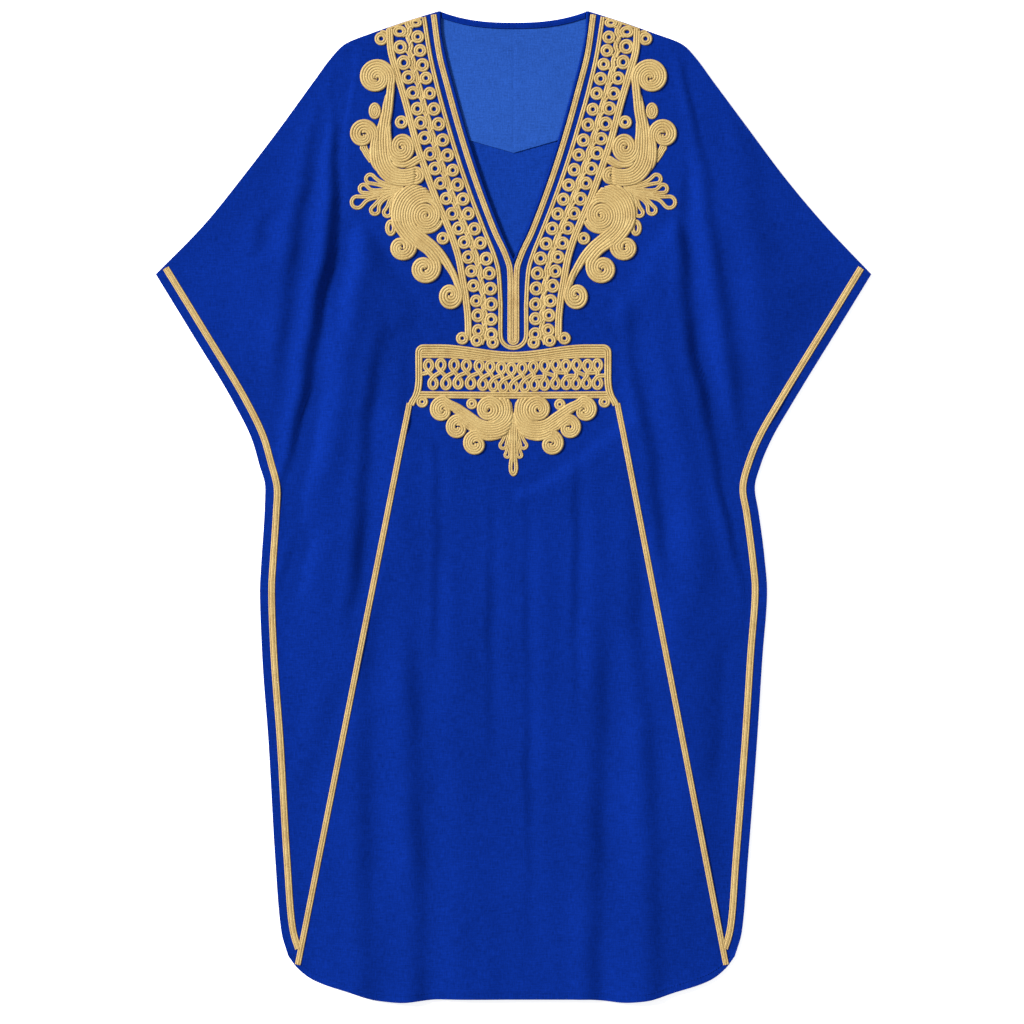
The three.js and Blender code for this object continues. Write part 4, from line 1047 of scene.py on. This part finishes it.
for word, side in SIDES:
    routes = []
    link_downs = np.arange(15.0, LINK_END, 2.4)
    link_out = np.zeros(len(link_downs))
    for column in RING_COLUMNS:
        count = column["rings"][-1]["ring"] + 1
        downs = np.interp(np.arange(count), [row["ring"] for row in column["rings"]],
                          [row["down"] for row in column["rings"]])
        downs = downs + hand.uniform(-0.8, 0.8, count)
        outs = curve(column["border"], "down", "half", downs) + column["offset"]
        outs = outs + hand.uniform(-0.4, 0.4, count)
        radii = np.linspace(column["top"], column["foot"], count) * hand.uniform(0.97, 1.03, count)
        for i in range(count):
            ring = {"out": outs[i], "down": downs[i], "radius": radii[i]}
            tall = column["first_tall"] if i == 0 else hand.uniform(0.97, 1.05)
            routes += ring_turns(ring, side, RING_LEVEL, tall)
            tie_out = [outs[i] + column["push"] * radii[i] * reach for reach, _ in TIE]
            tie_down = [downs[i] + radii[i] * fall for _, fall in TIE]
            routes.append(resample(plan_line(side * np.array(tie_out), tie_down,
                                             TRIM_BASE + 0.3, TIE_CORD), BEND_STEP))
        nearest = np.min(np.abs(link_downs[:, None] - downs[None, :]), axis=1)
        push = column["push"] * LINK_PUSH * np.exp(-(nearest / LINK_REACH) ** 2)
        edge = outs + column["push"] * radii
        link_out += np.interp(link_downs, downs, edge) / 2 + push
    link = resample(plan_line(side * link_out, link_downs, TRIM_BASE, CLOSE_CORD), CORD_STEP)
    edge_downs = np.linspace(23, BORDER_END, 60)
    edge_half = curve(OUTER_BORDER, "down", "half", edge_downs)
    edge_line = resample(plan_line(side * edge_half, edge_downs, TRIM_BASE + 0.5,
                                   BORDER_PITCH * 1.2), CORD_STEP)
    for line, end in ((edge_line, BORDER_END), (link, LINK_END)):
        to_end = end - LENGTH / 2 + line[:, 1]
        line[:, 2] -= SINK["depth"] * (1 - smooth(to_end / SINK["reach"]))
    for number in (-1, 0, 1):
        routes.append(beside(edge_line, number * BORDER_PITCH))
    routes += doubled(link, CORD)
    for ring in BAND_RINGS:
        routes += ring_turns(ring, side, RING_LEVEL)
    curl = np.array(BORDER_CURL)
    curl_line = plan_line(side * curl[:, 0], curl[:, 1], TRIM_BASE, CORD)
    routes += doubled(resample(curl_line, BEND_STEP), CORD)
    along = np.linspace(SHOULDER_CORD["from"], SHOULDER_CORD["to"], 24)
    shoulder_out = [row[word] for row in SIDE_EDGE[:6]]
    shoulder_down = [row["down"] for row in SIDE_EDGE[:6]]
    seam = np.interp(along, shoulder_out, shoulder_down)
    routes.append(plan_line(side * along, seam + SHOULDER_CORD["inside"], TRIM_BASE, CORD))
    kept = []
    for route in routes:
        shoulder = np.interp(np.abs(route[:, 0]), shoulder_out, shoulder_down)
        inside = LENGTH / 2 - route[:, 1] > shoulder + SHOULDER_CLEAR
        runs = np.flatnonzero(np.diff(np.concatenate([[0], inside.astype(int), [0]])))
        kept += [route[a:b] for a, b in zip(runs[::2], runs[1::2]) if b - a > 3]
    band = cord_piece(f"loop_band_{word}_cords", kept, gold_cord)
    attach(band, "root")
    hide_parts(f"loop_band_{word}")

# ---- belt panel --------------------------------------------------------------------------
# A panel of gold cord under the V: a frame of cords laid side by side, six deep along its
# sagging top, and inside it two rows of upright loops turned in one doubled cord.
BELT = {"half": 127.5, "corner": 10.4, "top_ends": 433.3, "top_middle": 443.0, "bottom": 503.5,
        "sag_reach": 95.6, "top_ends_deep": 18.0, "top_middle_deep": 14.3, "side_deep": 9.6}
UPPER_LOOPS = table(
    "ring x",
    (0, -110), (4, -45), (10, 41), (15, 110))
LOWER_LOOPS = table(
    "ring x",
    (0, -104), (4, -39), (10, 41), (15, 109))
UPPER_ROW = 460.5
LOWER_ROW = 484.0
ROW_SAG = 4.5
ROW_SAG_REACH = 55.0
LOOP = {"wide": 4.9, "tall": 6.3, "reach": 8.8, "cord": 2.75, "cross": 0.62}
LOOP_CORD = LOOP["cord"] * 1.1
BELT_CORNER_RING = {"out": 118.5, "down": 508, "radius": 7.6}
FRAME_PITCH = 3.1


def belt_top(x):
    """Depth of the belt's sagging upper edge."""
    sag = 1 - smooth(np.abs(x) / BELT["sag_reach"])
    return BELT["top_ends"] + sag * (BELT["top_middle"] - BELT["top_ends"])


def belt_row(rows, level):
    """Eyes of one row of loops."""
    count = rows[-1]["ring"] + 1
    x = np.interp(np.arange(count), [row["ring"] for row in rows], [row["x"] for row in rows])
    x = x + hand.uniform(-0.8, 0.8, count)
    sag = ROW_SAG * (1 - smooth(np.abs(x) / ROW_SAG_REACH))
    down = level + sag + hand.uniform(-0.6, 0.6, count)
    return [(at, LENGTH / 2 - depth) for at, depth in zip(x, down)]


belt_eyes = [(eye, -1.0) for eye in belt_row(UPPER_LOOPS, UPPER_ROW)]
belt_eyes += [(eye, 1.0) for eye in belt_row(LOWER_LOOPS, LOWER_ROW)]
belt_eyes.sort(key=lambda item: item[0][0])
weave_points = [(-BELT["half"] + 8, LENGTH / 2 - 472.0, TRIM_BASE, LOOP_CORD)]
for (x, y), turn in belt_eyes:
    crossing = (x, y + turn * LOOP["reach"])
    weave_points.append((*crossing, TRIM_BASE, LOOP_CORD))
    swing = hand.uniform(0.95, 1.05)
    for angle in np.linspace(LOOP["cross"], 2 * math.pi - LOOP["cross"], 15):
        weave_points.append((x + LOOP["wide"] * swing * math.sin(angle),
                             y + turn * LOOP["tall"] * swing * math.cos(angle), TRIM_BASE,
                             LOOP_CORD))
    weave_points.append((crossing[0] + 0.4, crossing[1], TRIM_BASE + 0.5, LOOP_CORD))
weave_points.append((BELT["half"] - 8, LENGTH / 2 - 474.0, TRIM_BASE, LOOP_CORD))
belt_routes = doubled(resample(weave_points, BEND_STEP), LOOP["cord"])

for number in range(3):
    inset = FRAME_PITCH * (number + 0.5)
    corner = max(1.2, BELT["corner"] - inset)
    half = BELT["half"] - inset
    across = np.linspace(-half + corner, half - corner, 60)
    top_line = np.column_stack([across, LENGTH / 2 - belt_top(across) - inset])
    arc = np.linspace(0, math.pi / 2, 7)[1:-1]
    centre_y = LENGTH / 2 - belt_top(half - corner) - inset - corner
    right_arc = np.column_stack([half - corner + corner * np.sin(arc),
                                 centre_y + corner * np.cos(arc)])
    flare = np.array([[half, 462], [half, 480], [half + 1.4, 492], [half + 3.9, 500],
                      [half + 7.4, 506], [half + 11.0, 513]])
    flare[:, 1] = LENGTH / 2 - flare[:, 1]
    right = np.concatenate([right_arc, flare])
    outline = np.concatenate([right[::-1] * mirror, top_line, right])
    belt_routes.append(resample(np.column_stack([
        outline, np.full(len(outline), TRIM_BASE + 0.1), np.full(len(outline), FRAME_PITCH)]),
        CORD_STEP))
for number in range(3, 6):
    half = BELT["half"] - BELT["side_deep"] + 1.0
    across = np.linspace(-half, half, 60)
    sag = 1 - smooth(np.abs(across) / BELT["sag_reach"])
    deep = BELT["top_ends_deep"] + sag * (BELT["top_middle_deep"] - BELT["top_ends_deep"])
    pitch = (deep - 3 * FRAME_PITCH) / 3
    down = belt_top(across) + 3 * FRAME_PITCH + pitch * (number - 2.5)
    belt_routes.append(resample(np.column_stack([
        across, LENGTH / 2 - down, np.full(60, TRIM_BASE + 0.1), pitch + 0.25]), CORD_STEP))
for number in range(3):
    half = BELT["half"] - 5.0
    across = np.linspace(-half, half, 60)
    bow = 0.8 * np.cos(across / half * math.pi / 2)
    down = BELT["bottom"] - FRAME_PITCH * (number + 0.5) + bow
    belt_routes.append(resample(plan_line(across, down, TRIM_BASE + 0.15, FRAME_PITCH), CORD_STEP))
for side in (-1, 1):
    belt_routes += ring_turns(BELT_CORNER_RING, side, TRIM_BASE)
belt_cords = cord_piece("belt_panel_cords", belt_routes, gold_cord)
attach(belt_cords, "root")
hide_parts("belt_panel")

# ---- scroll ornaments --------------------------------------------------------------------
# Beside each loop band, gold cords run side by side in a curved trunk, part into coils wound
# from the rim to the middle, and end in a fan of leaf loops. All are stitched down by hand.
PITCH = 3.3
CROWD = 1.28
COIL_LEVEL = TRIM_BASE + 0.7
LEG_REACH = 1.0
# Coils: wide and tall are half sizes, cords is how many cords lie between rim and middle,
# arms how many of them come in side by side, start the angle where they reach the rim (0 is
# away from the centre line, 90 up), wind the way they turn, and lead the rim's line before it.
SCROLL_COILS = table(
    "name out down wide tall cords arms start wind eye lead",
    ("top coil", 178.1, 83.6, 21.2, 21.2, 6.5, 3, 200, -1, (177.6, 87.2),
     [(156.8, 125), (155.8, 112), (154.9, 103)]),
    ("shoulder coil", 195.3, 158.0, 17.0, 17.8, 5.2, 3, 205, -1, (194.4, 161.5),
     [(173.5, 202), (176.2, 192), (176.8, 181)]),
    ("inner coil", 145.4, 177.8, 16.6, 19.2, 5.2, 2, 15, -1, (145.2, 177.2),
     [(165.2, 144), (165.6, 156)]),
    ("eye of the great coil", 113.2, 266.6, 16.6, 17.4, 5.1, 2, 150, 1, (113.2, 266.2),
     [(128.0, 248.6), (120.0, 244.0), (111.5, 242.8), (103.0, 246.6)]),
    ("first lower coil", 144.2, 308.8, 14.8, 15.0, 4.2, 3, 170, 1, (146.0, 308.0),
     [(150.5, 264), (145.8, 277), (136.5, 290)]),
    ("second lower coil", 114.4, 336.3, 17.2, 17.6, 4.9, 3, 150, 1, (115.4, 335.0),
     [(131.0, 291.5), (120.6, 299.0), (107.5, 308.5)]),
    ("last coil", 82.4, 371.8, 14.4, 16.8, 4.4, 2, 150, 1, (81.0, 368.6),
     [(81.0, 328), (75.4, 338), (71.0, 349)]))
# Bundles of cords between a near edge, from which they are counted, and a far edge.
TRUNK = table(
    "near_out near_down far_out far_down",
    (155.7, 106, 166.2, 107), (157.0, 126.5, 170.6, 126.5), (160.6, 150, 176.4, 149),
    (161.9, 165.5, 183.5, 165), (161.6, 178, 187.0, 181), (160.5, 188, 186.2, 194),
    (156.7, 198.3, 176.5, 211), (149.5, 204.6, 161.0, 224), (138.0, 205.6, 143.0, 227.6),
    (127.0, 202.2, 127.0, 225.4))
TRAIN = table(
    "near_out near_down far_out far_down",
    (160.8, 185, 161.6, 187), (156.8, 191.5, 158.2, 196), (150.5, 196, 151, 203),
    (142.0, 197, 141, 204.6), (134.0, 193.5, 131, 202.6), (128.0, 189.5, 123, 198),
    (124.0, 188.0, 116.5, 193))
GREAT_RIM = table(
    "near_out near_down far_out far_down",
    (97.6, 259, 96.8, 256), (101.0, 253.6, 100.5, 248), (107.0, 250, 108.6, 235.5),
    (113.0, 249, 118.6, 227.4), (118.5, 250, 131.7, 225.6), (124.0, 253.2, 144.2, 230),
    (127.6, 257.2, 153.5, 237.5), (129.6, 262.5, 158.0, 250), (130.0, 268, 159.0, 263),
    (128.5, 274.5, 157.0, 276), (124.6, 281, 148.5, 290), (118.0, 286.6, 138.5, 300),
    (108.5, 294.4, 125.5, 308), (100.0, 301.6, 113.0, 315), (89.6, 313.7, 100.0, 322.6),
    (81.8, 326.2, 89.5, 333), (76.0, 338, 82.0, 344), (72.5, 350, 77.0, 355),
    (69.6, 364, 71.6, 366))
# Arcs of single cords round one centre: from and to are angles as above, and level is the
# height of their underside above the yoke.
ARCS = table(
    "name out down radii from to level",
    ("end of the trunk", 127.0, 213.8, (9.95, 6.6, 3.3), -66, -294, 0.45),
    ("under the great coil's eye", 112.9, 266.6, (18.4, 21.2), -42, -165, 0.1))
OVALS = table(
    "name out down wide tall turns",
    ("side loop", 159.4, 281.8, 7.4, 10.8, 2), ("bud", 180.2, 129.8, 7.9, 10.8, 3))
# Leaf loops: the tip's middle and radius, the neck where both legs meet, and the way on.
LEAF_LOOPS = table(
    "name tip radius cord neck way root",
    ("first", (186.0, 218.3), 5.7, 2.5, (174.5, 223.6), [(164, 227)], (143, 230)),
    ("second", (194.6, 231.0), 5.4, 2.5, (185.4, 234.6), [(172.4, 235)], (143, 231.5)),
    ("third", (202.9, 248.5), 7.5, 2.5, (190.5, 243.6), [(174, 239.4)], (144, 233)),
    ("fourth", (180.1, 258.8), 5.2, 2.5, (176.0, 251.0), [(168.4, 243)], (145, 234.5)),
    ("small leaf", (194.6, 177.6), 2.8, 2.3, (190.2, 185.6), [(187.6, 190.0)], (184.5, 195.0)),
    ("fifth", (163.7, 262.0), 4.8, 2.5, (161.0, 253.6), [(158.6, 246)], (145, 236)))


def coil_arms(coil, side, base):
    """Cords that come in side by side and wind into a coil, each inside the one before it."""
    pitch = min(coil["wide"], coil["tall"]) / (coil["cords"] + 0.1)
    shrink = coil["arms"] * pitch
    wind = coil["wind"]
    start = math.radians(coil["start"])
    later = start + wind * 1.5 * math.pi
    size = np.array([coil["wide"], coil["tall"]]) + shrink / 2
    middle = np.array([coil["out"] + shrink / 4 * math.cos(later),
                       -coil["down"] + shrink / 4 * math.sin(later)])
    eye = np.array([coil["eye"][0], -coil["eye"][1]])
    rim = middle + size * np.array([math.cos(start), math.sin(start)])
    lead = np.array([(out, -down) for out, down in coil["lead"]] + [tuple(rim)])
    small = size.min()
    routes = []
    for arm in range(coil["arms"]):
        last = (0.3 if arm == 0 else 0.8) * pitch / small
        angles = []
        share = 1 - (arm + 0.5) * pitch / small
        shares = []
        while share > last:
            shares.append(share)
            angles.append((shares[0] - share) * small / shrink * 2 * math.pi)
            share -= min(0.7, 2.1 / (share * small)) * shrink / small / (2 * math.pi)
        shares = np.array(shares)[:, None]
        turn = start + wind * np.array(angles)
        points = (middle + (1 - shares) * (eye - middle)
                  + size * shares * np.column_stack([np.cos(turn), np.sin(turn)]))
        if arm == 0:
            points = np.concatenate([points, [1.8 * eye - 0.8 * points[-1]]])
        if len(lead) > 1:
            ahead = np.gradient(lead, axis=0)
            ahead /= np.hypot(*ahead.T)[:, None]
            inward = wind * np.column_stack([-ahead[:, 1], ahead[:, 0]])
            moved = lead + inward * (arm + 0.5) * pitch
            points = np.concatenate([moved[:-1], points])
        route = resample(np.column_stack([
            side * points[:, 0], LENGTH / 2 + points[:, 1],
            np.full(len(points), base + 0.05 * arm), np.full(len(points), pitch * CROWD)]), 2.2)
        sunk = np.clip(np.arange(len(route)) / 4, 0.0, 1.0)
        route[:, 2] -= (1 - sunk) * (base - TRIM_BASE)
        route[:, 3] *= 0.7 + 0.3 * sunk
        routes.append(thin_ends(route))
    return routes


def bundle_routes(stations, side, base):
    """Cords laid side by side from the near edge to the far one, as many as there is room for.

    A cord narrows to nothing where the far edge closes in on it.
    """
    near = resample([(side * row["near_out"], LENGTH / 2 - row["near_down"], i, 1)
                     for i, row in enumerate(stations)], 2.2)
    far_rows = [{"i": i, "x": side * row["far_out"], "y": LENGTH / 2 - row["far_down"]}
                for i, row in enumerate(stations)]
    across = np.column_stack([curve(far_rows, "i", "x", near[:, 2]) - near[:, 0],
                              curve(far_rows, "i", "y", near[:, 2]) - near[:, 1]])
    width = np.hypot(*across.T)
    across /= width[:, None]
    routes = []
    for number in range(int(width.max() / PITCH) + 1):
        room = np.clip((width - number * PITCH) / PITCH, 0.0, 1.0)
        shown = room > 0.25
        middle = number * PITCH + room * PITCH / 2
        route = np.column_stack([near[:, :2] + across * middle[:, None],
                                 np.full(len(near), base), np.maximum(room, 0.3) * PITCH * CROWD])
        edges = np.flatnonzero(np.diff(np.concatenate([[0], shown.astype(int), [0]])))
        routes += [thin_ends(route[a:b]) for a, b in zip(edges[::2], edges[1::2]) if b - a >= 4]
    return routes


def arc_routes(arc, side, base):
    """Arcs of cord round one centre."""
    routes = []
    for radius in arc["radii"]:
        angles = np.radians(np.linspace(arc["from"], arc["to"], max(6, int(radius * 1.3))))
        routes.append(thin_ends(plan_line(side * (arc["out"] + radius * np.cos(angles)),
                                          arc["down"] - radius * np.sin(angles), base,
                                          PITCH * CROWD)))
    return routes


def drop_loop(loop, side, base):
    """A drop-shaped loop of doubled cord whose legs run side by side to its root."""
    plan = np.array([side, -1.0])
    tip, neck, root = (np.array(loop[key]) * plan for key in ("tip", "neck", "root"))
    towards = (neck - tip) / np.hypot(*(neck - tip))
    aside = np.array([-towards[1], towards[0]])
    angles = np.linspace(LEG_REACH, 2 * math.pi - LEG_REACH, 13)
    circle = tip + loop["radius"] * (np.outer(np.cos(angles), towards)
                                     + np.outer(np.sin(angles), aside))
    stem = [neck] + [np.array(point) * plan for point in loop["way"]] + [root]
    ahead = np.gradient(np.array(stem), axis=0)
    ahead /= np.hypot(*ahead.T)[:, None]
    normal = np.column_stack([-ahead[:, 1], ahead[:, 0]])
    cord = loop["cord"]
    spread = np.linspace(cord * 0.98, cord * 0.6, len(stem))[:, None]
    out_leg = (np.array(stem) + normal * spread)[::-1]
    back_leg = np.array(stem) - normal * spread
    line = np.concatenate([out_leg, circle, back_leg])
    route = np.column_stack([line[:, 0], LENGTH / 2 + line[:, 1], np.full(len(line), base),
                             np.full(len(line), cord * 1.1)])
    return doubled(resample(route, BEND_STEP), cord)


for word, side in SIDES:
    routes = bundle_routes(TRUNK, side, TRIM_BASE + 0.45)
    routes += bundle_routes(TRAIN, side, TRIM_BASE + 0.6)
    routes += bundle_routes(GREAT_RIM, side, TRIM_BASE + 0.45)
    for arc in ARCS:
        routes += arc_routes(arc, side, TRIM_BASE + arc["level"])
    for coil in SCROLL_COILS:
        routes += coil_arms(coil, side, COIL_LEVEL)
    for ring in OVALS:
        for turn in range(ring["turns"]):
            inset = CORD * (turn + 0.5)
            routes.append(oval(ring["out"], ring["down"], max(0.5, ring["wide"] - inset),
                               ring["tall"] - inset, side, TRIM_BASE))
    for number, leaf in enumerate(LEAF_LOOPS):
        routes += drop_loop(leaf, side, TRIM_BASE + 0.12 * (number % 2))
    scroll_cords = cord_piece(f"scroll_{word}_cords", routes, gold_cord)
    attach(scroll_cords, "root")
    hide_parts(f"scroll_{word}")

# ---- ornament under the belt -------------------------------------------------------------
# Two mirrored arms of cords leave two great coils under the belt and end in coils, and a
# stem of loops hangs between them and ends in a pointed drop.
DROP_COILS = table(
    "name out down wide tall cords arms start wind eye lead",
    ("outer coil", 95.6, 518.9, 13.3, 13.5, 4.3, 4, 100, -1, (91.4, 519.5),
     [(60.5, 517.4), (71.0, 510.8), (82.0, 505.6)]),
    ("middle coil", 74.4, 541.9, 13.1, 13.3, 4.2, 3, 92, -1, (72.6, 541.6),
     [(50.6, 540.2), (57.4, 533.6), (64.6, 528.4)]),
    ("inner coil", 51.0, 562.3, 14.1, 14.0, 4.4, 3, 96, -1, (49.6, 562.8),
     [(24, 549.4), (33, 549.2), (42, 546.6)]),
    ("great coil", 33.0, 517.3, 14.4, 14.7, 4.4, 2, 120, -1, (32.6, 517.4),
     [(31.5, 538.0), (21.8, 534.2), (14.8, 527.4), (12.4, 518.6), (15.2, 509.2)]))
DROP_ARM = table(
    "near_out near_down far_out far_down",
    (20.5, 503.6, 19.5, 502.6), (15.4, 507.6, 10.6, 502.8), (12.5, 513.6, 4.0, 506.5),
    (12.2, 519.6, 1.4, 516), (14.4, 526.6, 0.8, 528), (19.4, 531.6, 2.2, 540),
    (25.6, 533.6, 9.6, 550.2), (31.5, 533.8, 20.0, 556.8), (37.4, 532.8, 31.0, 558.4),
    (43.0, 530.4, 42.5, 556.8), (49.6, 525.6, 51.5, 549.4), (56.8, 520.4, 60.4, 541.6),
    (66.0, 514.4, 68.6, 532.4), (75.0, 509.4, 77.0, 522.4), (83.0, 506.2, 84.0, 514.6))
INNER_RINGS_UNDER = table(
    "side out down radius",
    (-1, 54.0, 510.6, 7.2), (1, 60.5, 511.5, 7.4))
STEM_DOWNS = (522.0, 535.0, 548.0, 561.0, 574.0, 588.0)
STEM_CORDS = [(0.8, 1.2, 1.4, 1.4, 1.4, 1.5), (1.6, 3.4, 4.2, 4.1)]
# Two loops on each side of the stem, and the two cords of the pointed drop at its end.
DROP_LOOPS = table(
    "tip radius cord neck way root",
    ((13.2, 564.6), 4.1, 2.2, (8.4, 551.5), [(5.0, 541)], (2.0, 531)),
    ((7.9, 577.2), 3.1, 1.9, (5.6, 566.4), [(4.0, 559)], (2.0, 550)))
PENDANT = [
    [(1.5, 562), (2.2, 574), (4.0, 584), (4.9, 592), (4.6, 597), (3.2, 601.2), (1.2, 603.4),
     (-0.7, 603.7)],
    [(1.4, 582), (2.1, 589), (2.3, 594), (1.8, 598.2), (0.7, 600.3), (-0.7, 600.6)],
]

drop_routes = []
for side in (-1, 1):
    drop_routes += bundle_routes(DROP_ARM, side, TRIM_BASE + 0.4)
    for coil in DROP_COILS:
        drop_routes += coil_arms(coil, side, COIL_LEVEL)
    for outs in STEM_CORDS:
        line = plan_line(side * np.array(outs), STEM_DOWNS[:len(outs)], TRIM_BASE + 0.3, CORD)
        drop_routes.append(thin_ends(resample(line, CORD_STEP)))
    for number, loop in enumerate(DROP_LOOPS):
        drop_routes += drop_loop(loop, side, TRIM_BASE + 0.2 * number)
    for points in PENDANT:
        outs, downs = np.array(points).T
        drop_routes.append(resample(plan_line(side * outs, downs, TRIM_BASE, CORD), 1.8))
for ring in INNER_RINGS_UNDER:
    drop_routes += ring_turns(ring, ring["side"], TRIM_BASE)
drop_cords = cord_piece("belt_drop_cords", drop_routes, gold_cord)
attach(drop_cords, "root")
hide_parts("belt_drop")
